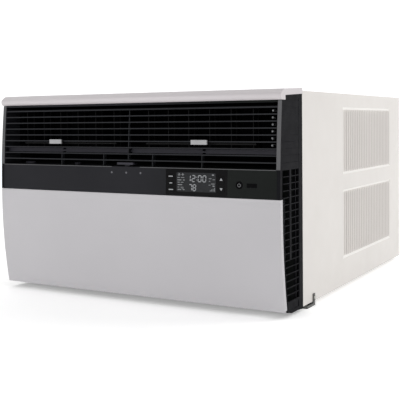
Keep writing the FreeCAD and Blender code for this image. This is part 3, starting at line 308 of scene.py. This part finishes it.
def lit(name, colour, strength):
    """A printed or lit mark, slightly uneven, that glows: lit on the display, and a painted glow where it is
    print on the keys.
    """
    n = Nodes(name, 0.35)
    tint = n.ramp(n.noise(400, 2.0), [(0.3, shade(colour, 0.88)), (0.7, shade(colour, 1.05))])
    n.colour(tint)
    n.link(tint, n.shader.inputs["Emission Color"])
    n.emission(strength)
    n.height((n.noise(500, 2.0), 0.00001))
    return n.material


GRIP_REAR = -98.8
BAR_FRONT = -98.2


def lever_look():
    """Light grip on the tab that stands out of the grille, dark on the bar behind it."""
    n = Nodes("lever_plastic", 0.38)
    n.specular(0.1)
    depth = n.between(n.axes()["Y"], at(0, GRIP_REAR, 0).y, at(0, BAR_FRONT, 0).y)
    grip = n.ramp(n.noise(40, 3.0), [(0.3, linear(152, 152, 153)), (0.7, linear(164, 164, 166))])
    n.colour(n.mix(depth, grip, linear(12, 12, 13)))
    n.height((n.noise(SPARK_GRAIN, 2.0), 0.00002))
    return n.material


CHEEK_INNER = 322.0 * MM
CHEEK_OUTER = 322.6 * MM
# Span along x over which the band's painted reflection fades from its lighter left tone to its darker right
# one.
BAND_REFLECTION_RAMP = (40 * MM, 220 * MM)


def bezel_look_painted_shading(shaded_cheek, left, right):
    """Charcoal plastic with painted light: its band deepens towards the right, a painted reflection that is
    lighter at the left, and the cheeks at both ends are deepest, painted shade.
    """
    n = Nodes("bezel_plastic_painted_reflection_and_shade", 0.6)
    n.specular(0.04)
    across = n.axes()["X"]
    outward = n.add("ShaderNodeMath", operation="ABSOLUTE")
    n.link(across, outward.inputs[0])
    # The cheeks' darker tone is painted shade, set against the key light that falls on them.
    cheek_shade_mask = n.between(outward.outputs["Value"], CHEEK_INNER, CHEEK_OUTER)
    flow = n.noise(FLOW, 2.0)
    band_left_painted_reflection, band_right_painted_reflection, painted_cheek_shade = (n.ramp(flow, [(0.3, shade(colour, 0.94)), (0.7, shade(colour, 1.06))])
                                   for colour in (left, right, shaded_cheek))
    # Lighter at the left, darker to the right: a painted reflection across the band.
    band = n.mix(n.between(across, *BAND_REFLECTION_RAMP), band_left_painted_reflection, band_right_painted_reflection)
    n.colour(n.mix(n.edges(EDGE_WIDTH), n.mix(cheek_shade_mask, band, painted_cheek_shade), shade(left, 1.25)))
    n.roughness(n.noise(60, 4.0), 0.55, 0.65)
    n.height((n.noise(SPARK_GRAIN, 2.0), 0.00003))
    return n.material


LOOKS = {
    "cabinet_paint": enamel("cabinet_enamel", linear(204, 200, 196), 0.42),
    # The hoods' darker paint is painted shade of the louvre panels.
    "louvre_paint_painted_shade": enamel("louvre_enamel_painted_shade", linear(196, 191, 187), 0.46, 0.97),
    # The rims' lighter paint is a painted highlight.
    "rim_paint_painted_highlight": enamel("rim_enamel_painted_highlight", linear(224, 221, 217), 0.4, 1.0),
    "grey_steel": enamel("grey_steel_enamel", linear(84, 84, 82), 0.5),
    "galvanised": galvanised("galvanised_sheet", linear(170, 174, 178)),
    "screw_steel": bare_metal("zinc_screws", linear(184, 184, 180), 0.3),
    "dark_plastic": moulded("charcoal_plastic", linear(28, 28, 31), 0.6, patch=0.06, specular=0.04),
    "light_plastic": moulded("door_plastic", linear(176, 174, 177), 0.42, worn=1.05, patch=0.012),
    "trim_plastic": moulded("trim_plastic", linear(190, 185, 187), 0.42, worn=1.08, patch=0.012),
    "grille_plastic": moulded("grille_plastic", linear(35, 36, 39), 0.5, worn=1.3, specular=0.12),
    # On the upright end strips and the band's rim this lighter plastic is a painted highlight.
    "edge_plastic": moulded("edge_plastic", linear(78, 78, 80), 0.45, worn=1.1, specular=0.3),
    "peg_plastic": moulded("peg_plastic", linear(104, 106, 108), 0.4, worn=1.1),
    "deck_plastic": moulded("deck_plastic", linear(44, 43, 50), 0.55, specular=0.2),
    "vane_plastic": moulded("vane_plastic", linear(7, 7, 8), 0.5, worn=1.6, specular=0.08),
    "panel_gloss": glossy("display_gloss", linear(8, 8, 9), 0.12, 0.05, 0.04),
    "lens": glossy("dark_lens", linear(9, 9, 10), 0.2, 0.02, 0.0),
    "dot_lens": glossy("indicator_lens", linear(100, 100, 104), 0.25),
    "lcd": glossy("display_glass", linear(33, 34, 36), 0.25, 0.08),
    "lit_figures": lit("lit_figures", linear(122, 124, 126), 0.3),
    "lit_signs": lit("lit_signs", linear(104, 106, 108), 0.15),
    # The keys' printed marks glow faintly: a painted glow.
    "print": lit("key_print_painted_glow", linear(140, 142, 144), 0.1),
    "dim_print": lit("power_print_painted_glow", linear(96, 97, 99), 0.05),
    "board": circuit_board("circuit_board"),
    "net": moulded("filter_net", linear(40, 43, 47), 0.7, specular=0.2),
    "filter_frame": moulded("filter_frame", linear(44, 46, 50), 0.55, specular=0.3),
    "rubber": rubber("rubber"),
    "fin_aluminium": fin_stock("fin_aluminium"),
    "copper": bare_metal("copper_tube", linear(196, 118, 82), 0.3, stained=0.55),
    "black_paint": enamel("black_enamel", linear(22, 22, 23), 0.35, worn=1.6),
    "foam": expanded_foam("bead_foam", linear(220, 220, 216), linear(196, 196, 192)),
    "dark_foam": expanded_foam("black_foam", linear(9, 9, 10), linear(4, 4, 5), 0.05),
    "wheel_plastic": moulded("wheel_plastic", linear(18, 19, 20), 0.5, worn=1.6, specular=0.2),
    "steel": bare_metal("turned_steel", linear(170, 170, 168), 0.28, (1, 0.2, 1)),
    "lever": lever_look(),
    # The charcoal front's tones are painted light: a painted reflection along the band and painted shade on
    # the cheeks.
    "bezel_painted_shading": bezel_look_painted_shading(linear(19, 19, 22), linear(38, 38, 41), linear(26, 28, 27)),
}


# ---- building new pieces ----

MARK = 0.12


class Shape:
    """Vertices and faces of one mesh, in metres."""

    def __init__(self):
        self.points = []
        self.faces = []

    def band(self, base, count, here, there):
        """Faces from one closed ring of points to another, by their numbers in the row of rings."""
        first, second = base + here * count, base + there * count
        for k in range(count):
            beside = (k + 1) % count
            self.faces.append((first + k, first + beside, second + beside, second + k))

    def rings(self, rings):
        """Add the points of closed rings of the same count, and say where they start."""
        base = len(self.points)
        for ring in rings:
            self.points += [tuple(point) for point in ring]
        return base

    def loft(self, rings):
        """Join closed rings of the same count, and cap both ends."""
        base, count, last = self.rings(rings), len(rings[0]), len(rings) - 1
        for level in range(last):
            self.band(base, count, level, level + 1)
        self.faces.append(tuple(base + k for k in reversed(range(count))))
        self.faces.append(tuple(base + last * count + k for k in range(count)))

    def hoop(self, rings):
        """Join closed rings of the same count in a loop, the last one to the first."""
        base, count = self.rings(rings), len(rings[0])
        for level in range(len(rings)):
            self.band(base, count, level, (level + 1) % len(rings))

    def slab(self, low, high):
        """A block between two corners in metres."""
        self.loft([[(low[0], low[1], z), (high[0], low[1], z), (high[0], high[1], z), (low[0], high[1], z)]
                   for z in (low[2], high[2])])

    def box(self, x, y, z):
        """A block between low and high millimetres along each axis."""
        self.slab(at(x[0], y[0], z[0]), at(x[1], y[1], z[1]))

    def rod(self, centre, axis, radius, length, sides=20, end=1.0):
        """A round rod from a centre in millimetres along an axis; end scales its far radius."""
        axis = Vector(axis).normalized()
        side = axis.orthogonal().normalized()
        spokes = [Matrix.Rotation(math.tau * k / sides, 3, axis) @ side for k in range(sides)]
        self.loft([[at(*centre) + MM * (axis * along + spoke * size) for spoke in spokes]
                   for along, size in ((0.0, radius), (length, radius * end))])

    def plate(self, outline, y):
        """A flat mark that faces the room, from (x, z) corners in millimetres."""
        self.loft([[at(x, depth, z) for x, z in outline] for depth in (y - MARK, y)])


def piece(name, shape, body, look, bevel=0.0, smooth=False):
    """One mesh object from a shape, riding on a body."""
    mesh = bpy.data.meshes.new(name)
    mesh.from_pydata(shape.points, [], shape.faces)
    work = bmesh.new()
    work.from_mesh(mesh)
    bmesh.ops.recalc_face_normals(work, faces=work.faces)
    work.to_mesh(mesh)
    work.free()
    mesh.materials.append(look)
    mesh.polygons.foreach_set("use_smooth", [smooth] * len(mesh.polygons))
    thing = bpy.data.objects.new(name, mesh)
    bpy.context.scene.collection.objects.link(thing)
    if bevel:
        soften(thing, bevel)
    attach(thing, body)
    return thing


def soften(thing, width, weld=False, segments=2):
    """Round the sharp edges of an object."""
    if weld:
        thing.modifiers.new("weld", "WELD").merge_threshold = 0.01 * MM
    rounding = thing.modifiers.new("rounding", "BEVEL")
    rounding.width = width * MM
    rounding.segments = segments
    rounding.limit_method = "ANGLE"
    rounding.angle_limit = math.radians(38)
    rounding.harden_normals = True


# ---- cabinet ----

SIDES = (1, -1)
PANELS = ((56, 202), (235, 376))
PANEL_Y = (218, 554)
SIDE = 329.4
RECESS = 4.0
FLOOR_X = SIDE - RECESS + 0.02
SLOT_FIRST, SLOT_PITCH, SLOT_COUNT = 222, 12, 28
RIM, FRONT_RIM = 7.0, 2.4
HOOD_RISE = 3.7
FIRST_HOODS = (0.35, 0.75)
# Cross-section of a hood: place along y from its slot, and share of its rise there.
HOOD_PROFILE = ((-4.0, 0.0), (-3.4, 0.14), (-2.6, 0.5), (-1.6, 0.84), (-0.4, 0.98), (2.0, 1.0), (4.6, 0.92),
                (5.0, 0.7), (4.4, 0.55), (-1.0, 0.6), (-2.4, 0.1), (-3.2, 0.0))
# Distance from either end of the panel, and share of a hood's rise there.
HOOD_ENDS = ((3.0, 0.1), (5.5, 0.6), (9.5, 1.0))


def louvre_hood(shape, sign, y, low, high, rise):
    """One pressed hood that stands on the recessed panel of one side."""
    levels = [(low + away, lift) for away, lift in HOOD_ENDS]
    levels += [(high - away, lift) for away, lift in reversed(HOOD_ENDS)]
    shape.loft([[at(sign * (FLOOR_X + rise * lift * share), y + run, z) for run, share in HOOD_PROFILE]
                for z, lift in levels])


def side_louvres():
    """Pressed hoods over the side slots, open towards the rear; the first two of each panel are lower. Their
    paint is a darker tone than the side's: painted shade.
    """
    shape = Shape()
    heights = FIRST_HOODS + (1.0,) * (SLOT_COUNT - len(FIRST_HOODS))
    for sign in SIDES:
        for low, high in PANELS:
            for number, height in enumerate(heights):
                louvre_hood(shape, sign, SLOT_FIRST + SLOT_PITCH * number, low, high, HOOD_RISE * height)
    piece("side_louvres", shape, "cabinet", LOOKS["louvre_paint_painted_shade"], smooth=True)


def louvre_frames():
    """Sloped rims that lead from the cabinet's side down into each louvre panel, in a lighter paint tone than
    the side: a painted highlight.
    """
    shape = Shape()
    front_y, rear_y = PANEL_Y
    outer, halfway = SIDE - 0.03, SIDE - 0.45 * RECESS
    for sign in SIDES:
        for low, high in PANELS:
            corners = ((front_y, low, FRONT_RIM, RIM), (rear_y, low, -RIM, RIM),
                       (rear_y, high, -RIM, -RIM), (front_y, high, FRONT_RIM, -RIM))
            shape.hoop([[at(sign * outer, y, z), at(sign * FLOOR_X, y, z), at(sign * FLOOR_X, y + dy, z + dz),
                         at(sign * halfway, y + dy * 0.35, z + dz * 0.35)] for y, z, dy, dz in corners])
    piece("louvre_frames", shape, "cabinet", LOOKS["rim_paint_painted_highlight"])


# ---- front ----

STRIP_INNER, STRIP_OUTER = 321.6, 329.3
BAND_LOW, BAND_TOP = 260.9, 262.1
BAR_FIRST, BAR_PITCH = 274.4, 12.4
PEG_BARS = range(3, 9)
PEG_X = 309.5
KNOB_Y = -60


def curved_strip(shape, left, right, z_low, z_high, proud, thick, steps=10):
    """A strip with eased edges that follows the curved front between two heights."""
    rings = []
    for step in range(steps + 1):
        z = z_low + (z_high - z_low) * step / steps
        face = front(z) - proud
        edge, back = face + 0.35 * thick, face + thick
        section = ((left, edge), (left + 0.5, face), (right - 0.5, face),
                   (right, edge), (right, back), (left, back))
        rings.append([at(x, y, z) for x, y in section])
    shape.loft(rings)


def painted_highlight_strips():
    """Lighter upright strips at both ends of the outlet, and the thin bright rim on top of the band: painted
    highlights of glossy edges, laid as thin sheets just proud of the front.
    """
    shape = Shape()
    for left, right in ((-STRIP_OUTER, -STRIP_INNER), (STRIP_INNER, STRIP_OUTER)):
        curved_strip(shape, left, right, 262.2, 385.6, 0.7, 0.7)
    piece("painted_highlight_strips", shape, "chassis", LOOKS["edge_plastic"])
    rim = Shape()
    for left, right in ((-321.4, -36.5), (30.5, 321.4)):
        curved_strip(rim, left, right, BAND_LOW, BAND_TOP, 0.35, 0.35, 2)
    piece("band_highlight_rim", rim, "chassis", LOOKS["edge_plastic"])


def grille_pegs():
    """Small pegs at the right end of the bars that fix the grille to the front."""
    shape = Shape()
    for number in PEG_BARS:
        z = BAR_FIRST + BAR_PITCH * number - BAR_PITCH / 2
        shape.rod((PEG_X, front(z) + 7, z), (0, 1, 0), 2.0, 10, 16)
        shape.rod((PEG_X, front(z) + 6.4, z), (0, 1, 0), 1.3, 0.8, 16, 1.5)
    piece("grille_pegs", shape, "chassis", LOOKS["peg_plastic"])


def oval(x, y, wide, deep, z, sides=28):
    """A level ring of points in the shape of an oval."""
    return [at(x + wide * math.cos(turn), y + deep * math.sin(turn), z)
            for turn in (math.tau * k / sides for k in range(sides))]


def vent_knobs():
    """Low oval bosses on the floor of the outlet."""
    shape = Shape()
    for x, wide in ((-282, 13), (-152, 7)):
        shape.loft([oval(x, KNOB_Y, wide, 7, BAND_TOP), oval(x, KNOB_Y, wide, 7, 265.6),
                    oval(x, KNOB_Y, wide - 1.5, 5.5, 266.6)])
    piece("vent_knobs", shape, "chassis", LOOKS["deck_plastic"])


# ---- display ----

FACE_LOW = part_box("display_panel")[0]
FACE = (FACE_LOW.y - EDGE_Y) / MM
MARK_FACE = FACE - 0.1
ARC_STEPS = 18

# Ends of the seven bars of a figure, as shares of its width and height.
BARS = {"a": ((0, 1), (1, 1)), "b": ((1, 1), (1, 0.5)), "c": ((1, 0.5), (1, 0)), "d": ((0, 0), (1, 0)),
        "e": ((0, 0.5), (0, 0)), "f": ((0, 1), (0, 0.5)), "g": ((0, 0.5), (1, 0.5))}
SEGMENTS = {"0": "abcdef", "1": "bc", "2": "abged", "7": "abc", "8": "abcdefg"}
LEAN = 0.06


def digit(shape, figure, x, z, wide, high, bar):
    """One seven-segment figure with its lower left corner at (x, z)."""
    for letter in SEGMENTS[figure]:
        start, finish = (Vector((across * wide, up * high)) for across, up in BARS[letter])
        run = (finish - start).normalized()
        side = Vector((-run.y, run.x)) * bar / 2
        first, last = start + run * bar * 0.2, finish - run * bar * 0.2
        tip, tail = first + run * bar / 2, last - run * bar / 2
        outline = (first, tip - side, tail - side, last, tail + side, tip + side)
        shape.plate([(x + p.x + LEAN * p.y, z + p.y) for p in outline], MARK_FACE)


def cut_corners(left, right, low, high, cut):
    """Outline of a rectangle whose corners are cut off."""
    return [(left + cut, low), (right - cut, low), (right, low + cut), (right, high - cut),
            (right - cut, high), (left + cut, high), (left, high - cut), (left, low + cut)]


def bar_mark(shape, x, z, wide, high, y=MARK_FACE):
    """A small bar with cut corners, centred on (x, z)."""
    left, low, cut = x - wide / 2, z - high / 2, min(wide, high) * 0.3
    shape.plate(cut_corners(left, left + wide, low, low + high, cut), y)


def spokes(shape, x, z, radius, count, bar):
    """A star of bars, for a cold or fan sign; each lies a little over the one before."""
    for number in range(count):
        turn = math.pi * number / count
        run = Vector((math.cos(turn), math.sin(turn)))
        side = Vector((-run.y, run.x)) * bar / 2
        outline = (run * -radius - side, run * radius - side, run * radius + side, run * -radius + side)
        shape.plate([(x + p.x, z + p.y) for p in outline], MARK_FACE - 0.01 * number)


def arc_mark(shape, x, z, radius, bar, start, finish, y):
    """A bent bar on a circle between two angles in degrees."""
    turns = [math.radians(start + (finish - start) * k / ARC_STEPS) for k in range(ARC_STEPS + 1)]
    outline = []
    for size, order in ((radius + bar / 2, turns), (radius - bar / 2, reversed(turns))):
        outline += [(x + size * math.sin(turn), z + size * math.cos(turn)) for turn in order]
    shape.plate(outline, y)


def display_figures():
    """Clock and set temperature."""
    shape = Shape()
    for figure, x, wide in (("1", 140.5, 4.0), ("2", 148.4, 6.2), ("0", 161.6, 6.4), ("0", 171.6, 6.4)):
        digit(shape, figure, x, 237.2, wide, 11.4, 1.7)
    for z in (240.4, 245.6):
        bar_mark(shape, 158.4, z, 1.4, 1.4)
    for figure, x in (("7", 141.6), ("8", 150.2)):
        digit(shape, figure, x, 220.2, 5.8, 11.2, 1.7)
    piece("display_figures", shape, "chassis", LOOKS["lit_figures"])


# Bars left of the figures: the height of each row, and the middle and width of its bars.
LEFT_ROWS = ((244.2, ((119.4, 6), (128.2, 7))), (239.6, ((121, 9), (130.6, 4))),
             (235.2, ((119.2, 5), (126.8, 6))), (230.6, ((122, 10),)),
             (226.0, ((118.8, 4), (125.4, 5))), (221.6, ((120.6, 8), (130, 4))))
# Bars right of the figures: middle, width and height.
RIGHT_BARS = ((193.6, 250.2, 4.6, 2.6), (187.6, 243.4, 6, 1.2), (195, 241.8, 5, 1.2), (186.2, 238.6, 3, 1.2),
              (193.4, 233.8, 8, 1.2), (194.6, 229.8, 4.4, 2.4), (186, 231.6, 4, 1.1))


def display_signs():
    """Plain bars and signs for the modes, the timer and the fan's speed."""
    shape = Shape()
    spokes(shape, 120.5, 250.0, 3.0, 3, 0.9)
    spokes(shape, 128.5, 250.0, 2.6, 2, 1.3)
    for row, (z, spans) in enumerate(LEFT_ROWS):
        for x, wide in spans:
            bar_mark(shape, x, z, wide, 1.7 if row % 2 else 1.3)
    for x, z, wide, high in RIGHT_BARS:
        bar_mark(shape, x, z, wide, high)
    for number in range(4):
        bar_mark(shape, 187.5 + 3.0 * number, 221.0 + 0.8 * number, 1.3, 2.2 + 1.6 * number)
    arc_mark(shape, 127.5, 224.8, 1.7, 0.9, 0, 340, MARK_FACE)
    piece("display_signs", shape, "chassis", LOOKS["lit_signs"])


def display():
    """Glass of the display, with its figures and signs."""
    glass = Shape()
    glass.plate(cut_corners(114.3, 199.3, 217.8, 253.8, 1.5), FACE)
    piece("display_glass", glass, "chassis", LOOKS["lcd"])
    display_figures()
    display_signs()


def key_face(key):
    """Middle of a key's face in millimetres: x, height, and the depth of a mark on it."""
    low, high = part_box(key)
    return (low.x + high.x) / 2 / MM, ((low.z + high.z) / 2 - BASE_Z) / MM, (low.y - EDGE_Y) / MM - 0.02


def key_marks():
    """Small printed bars and arrows on the keys, which move with them."""
    for key, wide in (("key_mode", 9.6), ("key_timer", 6.6), ("key_speed", 10.0)):
        mark = Shape()
        x, z, y = key_face(key)
        bar_mark(mark, x, z, wide, 1.9, y)
        piece(key + "_mark", mark, key, LOOKS["print"])
    for key, way in (("key_up", 1), ("key_down", -1)):
        mark = Shape()
        x, z, y = key_face(key)
        mark.plate([(x - 3.0, z - 2.0 * way), (x + 3.0, z - 2.0 * way), (x, z + 2.8 * way)], y)
        piece(key + "_mark", mark, key, LOOKS["print"])
    mark = Shape()
    x, z, y = key_face("key_power")
    arc_mark(mark, x, z, 2.9, 0.85, 35, 325, y)
    bar_mark(mark, x, z + 2.4, 0.85, 3.2, y)
    piece("key_power_mark", mark, "key_power", LOOKS["dim_print"])


def status_dots():
    """Three small indicator lenses in the band."""
    shape = Shape()
    z = 250.3
    for x in (-36.4, -1.5, 32.3):
        shape.rod((x, front(z) - 0.25, z), (0, 1, 0), 2.0, 1.0)
    piece("status_dots", shape, "chassis", LOOKS["dot_lens"])


# ---- door and inside ----

RIB_HALF, RIB_DEEP = 0.8, 4.5
RIB_X = (-270, -180, -90, 0, 90, 180, 270)
RIB_Z = (50, 100, 150)
RIB_STEPS = 12


def door_ribs():
    """Stiffening ribs moulded inside the door."""
    shape = Shape()
    for x in RIB_X:
        rings = []
        for step in range(RIB_STEPS + 1):
            z = 16 + 180 * step / RIB_STEPS
            root = front(z) + 2.9
            section = ((-1, root), (1, root), (0.7, root + RIB_DEEP), (-0.7, root + RIB_DEEP))
            rings.append([at(x + RIB_HALF * side, y, z) for side, y in section])
        shape.loft(rings)
    for z in RIB_Z:
        root = front(z) + 2.8
        shape.box((-322, 322), (root, root + RIB_DEEP), (z - RIB_HALF, z + RIB_HALF))
    piece("door_ribs", shape, "door", LOOKS["light_plastic"])


END_PLATE = 1.2 * MM
FIN_PITCH = 1.8 * MM
FIN_HALF = 0.08 * MM
FIN_BACK = 0.5 * MM
FIN_TRIM = 1.0 * MM
NET_PITCH = 2.5 * MM
STRAND_HALF = 0.22 * MM


def fin_pack(name, node_name):
    """Thin fins at their true close pitch, with a galvanised plate at each end."""
    low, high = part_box(node_name)
    shape = Shape()
    count = int((high.x - low.x - 2 * END_PLATE) / FIN_PITCH)
    first = (low.x + high.x) / 2 - count * FIN_PITCH / 2
    for number in range(count + 1):
        x = first + number * FIN_PITCH
        shape.slab((x - FIN_HALF, low.y + FIN_BACK, low.z + FIN_TRIM),
                   (x + FIN_HALF, high.y - FIN_BACK, high.z - FIN_TRIM))
    fins = piece(name, shape, "chassis", LOOKS["fin_aluminium"])
    ends = Shape()
    for near, far in ((low.x, low.x + END_PLATE), (high.x - END_PLATE, high.x)):
        ends.slab((near, low.y, low.z), (far, high.y, high.z))
    piece(name + "_ends", ends, "chassis", LOOKS["galvanised"])
    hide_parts(node_name)


def filter_net():
    """Net of fine strands inside the filter frame: the level strands lie behind the upright ones."""
    low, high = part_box("filter_mesh")
    middle = (low.y + high.y) / 2
    shape = Shape()
    across = int((high.x - low.x) / NET_PITCH)
    for number in range(across + 1):
        x = low.x + (high.x - low.x) * number / across
        shape.slab((x - STRAND_HALF, middle - STRAND_HALF, low.z),
                   (x + STRAND_HALF, middle + STRAND_HALF, high.z))
    up = int((high.z - low.z) / NET_PITCH)
    for number in range(up + 1):
        z = low.z + (high.z - low.z) * number / up
        section = ((middle, z - STRAND_HALF), (middle + 2 * STRAND_HALF, z - STRAND_HALF),
                   (middle + 2 * STRAND_HALF, z + STRAND_HALF), (middle, z + STRAND_HALF))
        shape.loft([[(x, y, height) for y, height in section] for x in (low.x, high.x)])
    net = piece("filter_net", shape, "chassis", LOOKS["net"])
    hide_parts("filter_mesh")


CAN_CENTRE = (215, 330)
BEAD_REACH, BEAD = 60.2, 1.6
BEAD_SIDES, BEAD_STEPS = 8, 56


def weld_bead(shape, height):
    """Round bead of a weld that runs round the compressor's can."""
    rings = []
    for side in range(BEAD_SIDES):
        turn = math.tau * side / BEAD_SIDES
        reach, z = BEAD_REACH + BEAD * math.cos(turn), height + BEAD * math.sin(turn)
        rings.append(oval(CAN_CENTRE[0], CAN_CENTRE[1], reach, reach, z, BEAD_STEPS))
    shape.hoop(rings)


def compressor_details():
    """Weld beads round the can and the moulded cover over its terminals."""
    beads = Shape()
    for height in (62, 240):
        weld_bead(beads, height)
    piece("weld_beads", beads, "chassis", LOOKS["black_paint"], smooth=True)
    cover = Shape()
    outline = ((200, 263.6), (204, 262), (226, 262), (230, 263.6), (230, 274), (200, 274))
    cover.loft([[at(x, y, z) for x, y in outline] for z in (196, 224)])
    piece("terminal_cover", cover, "chassis", LOOKS["dark_plastic"], bevel=1.2)


# ---- finish of the parts that stay as they are ----

SLOT_OF = {entry["node"]: entry["material_slot"] for entry in frame["record"]["subparts"]}
SPECIAL_LOOKS = {"vane_link_left": "lever", "vane_link_right": "lever", "front_bezel": "bezel_painted_shading",
                 "key_power": "lens"}
ROUNDED = {"top_trim": 1.6, "front_door": 1.4, "vane_link_left": 1.2, "vane_link_right": 1.2,
           "vent_lever": 1.0, "key_power": 0.4}

for label, thing in frame["nodes"].items():
    thing.data.materials.clear()
    thing.data.materials.append(LOOKS[SPECIAL_LOOKS.get(label, SLOT_OF[label])])
for label, width in ROUNDED.items():
    soften(frame["nodes"][label], width, weld=True)

side_louvres()
louvre_frames()
painted_highlight_strips()
grille_pegs()
vent_knobs()
display()
key_marks()
status_dots()
door_ribs()
fin_pack("evaporator_fin_pack", "evaporator_fins")
fin_pack("condenser_fin_pack", "condenser_fins")
filter_net()
compressor_details()


# ---- floor, light and camera ----

WHITE = (1.0, 1.0, 1.0, 1.0)
WORLD = 0.66
REACH = 8.0
FAR_LEFT = -3 * REACH
HIGH = 3 * REACH


def sheet(name, corners, material):
    """One flat rectangle from its four corners."""
    mesh = bpy.data.meshes.new(name)
    mesh.from_pydata(corners, [], [(0, 1, 2, 3)])
    thing = bpy.data.objects.new(name, mesh)
    bpy.context.scene.collection.objects.link(thing)
    mesh.materials.append(material)
    return thing


def floor_look():
    """Pale matt board."""
    n = Nodes("pale_floor", 0.8)
    n.colour(n.ramp(n.noise(2, 2.0), [(0.3, linear(246, 246, 246)), (0.7, linear(250, 250, 250))]))
    n.shader.inputs["Emission Color"].default_value = WHITE
    n.emission(0.3)
    n.height((n.noise(200, 2.0), 0.00002))
    return n.material


def backdrop_look():
    """Evenly lit paper behind the object."""
    n = Nodes("pale_backdrop", 0.9)
    n.colour(n.ramp(n.noise(1, 2.0), [(0.3, linear(120, 120, 120)), (0.7, linear(124, 124, 124))]))
    n.shader.inputs["Emission Color"].default_value = WHITE
    n.emission(1.0)
    return n.material


def soft_light(name, spot, target, size, power):
    """A square area light at a spot, facing a target."""
    data = bpy.data.lights.new(name, "AREA")
    data.shape = "SQUARE"
    data.size = size
    data.energy = power
    lamp = bpy.data.objects.new(name, data)
    bpy.context.scene.collection.objects.link(lamp)
    lamp.location = spot
    lamp.rotation_euler = (Vector(target) - Vector(spot)).to_track_quat("-Z", "Y").to_euler()


def set_stage():
    """Floor, backdrop, even surround and two lights."""
    floor = sheet("floor", [(FAR_LEFT, -REACH, 0), (REACH, -REACH, 0), (REACH, REACH, 0),
                            (FAR_LEFT, REACH, 0)], floor_look())
    backdrop = sheet("backdrop", [(FAR_LEFT, REACH, 0), (REACH, REACH, 0), (REACH, REACH, HIGH),
                                  (FAR_LEFT, REACH, HIGH)], backdrop_look())
    world = bpy.data.worlds.new("studio")
    bpy.context.scene.world = world
    world.use_nodes = True
    world.node_tree.nodes["Background"].inputs["Color"].default_value = WHITE
    world.node_tree.nodes["Background"].inputs["Strength"].default_value = WORLD
    middle = (0, 0, 0.2)
    soft_light("key_light", (2.9, 1.6, 2.0), middle, 1.6, 41)
    soft_light("front_light", (-0.8, -3.4, 1.5), middle, 2.2, 36)
    bpy.context.scene.view_settings.view_transform = "Standard"
    bpy.context.scene.view_settings.look = "None"


# Degrees: how far the camera is turned to the left, tipped down and rolled.
CAMERA_YAW, CAMERA_PITCH, CAMERA_ROLL = 28.75, 2.11, 0.52
CAMERA_SPOT = (905.6, -1360.2, 349.0)
CAMERA_LENS = 71.0
CAMERA_SHIFT = (-0.056, -0.124)


def set_camera():
    """Stands to the right of the front, a little above the middle, turned left by 29 degrees."""
    yaw, pitch, roll = (math.radians(angle) for angle in (CAMERA_YAW, CAMERA_PITCH, CAMERA_ROLL))
    ahead = Vector((-math.sin(yaw) * math.cos(pitch), math.cos(yaw) * math.cos(pitch), -math.sin(pitch)))
    right = Vector((math.cos(yaw), math.sin(yaw), 0))
    down = ahead.cross(right)
    across = math.cos(roll) * right + math.sin(roll) * down
    falling = -math.sin(roll) * right + math.cos(roll) * down
    turn = Matrix((across, -falling, -ahead)).transposed().to_4x4()
    data = bpy.data.cameras.new("camera")
    data.lens = CAMERA_LENS
    data.shift_x, data.shift_y = CAMERA_SHIFT
    camera = bpy.data.objects.new("camera", data)
    bpy.context.scene.collection.objects.link(camera)
    camera.matrix_world = Matrix.Translation(at(*CAMERA_SPOT)) @ turn
    bpy.context.scene.camera = camera


set_stage()
set_camera()
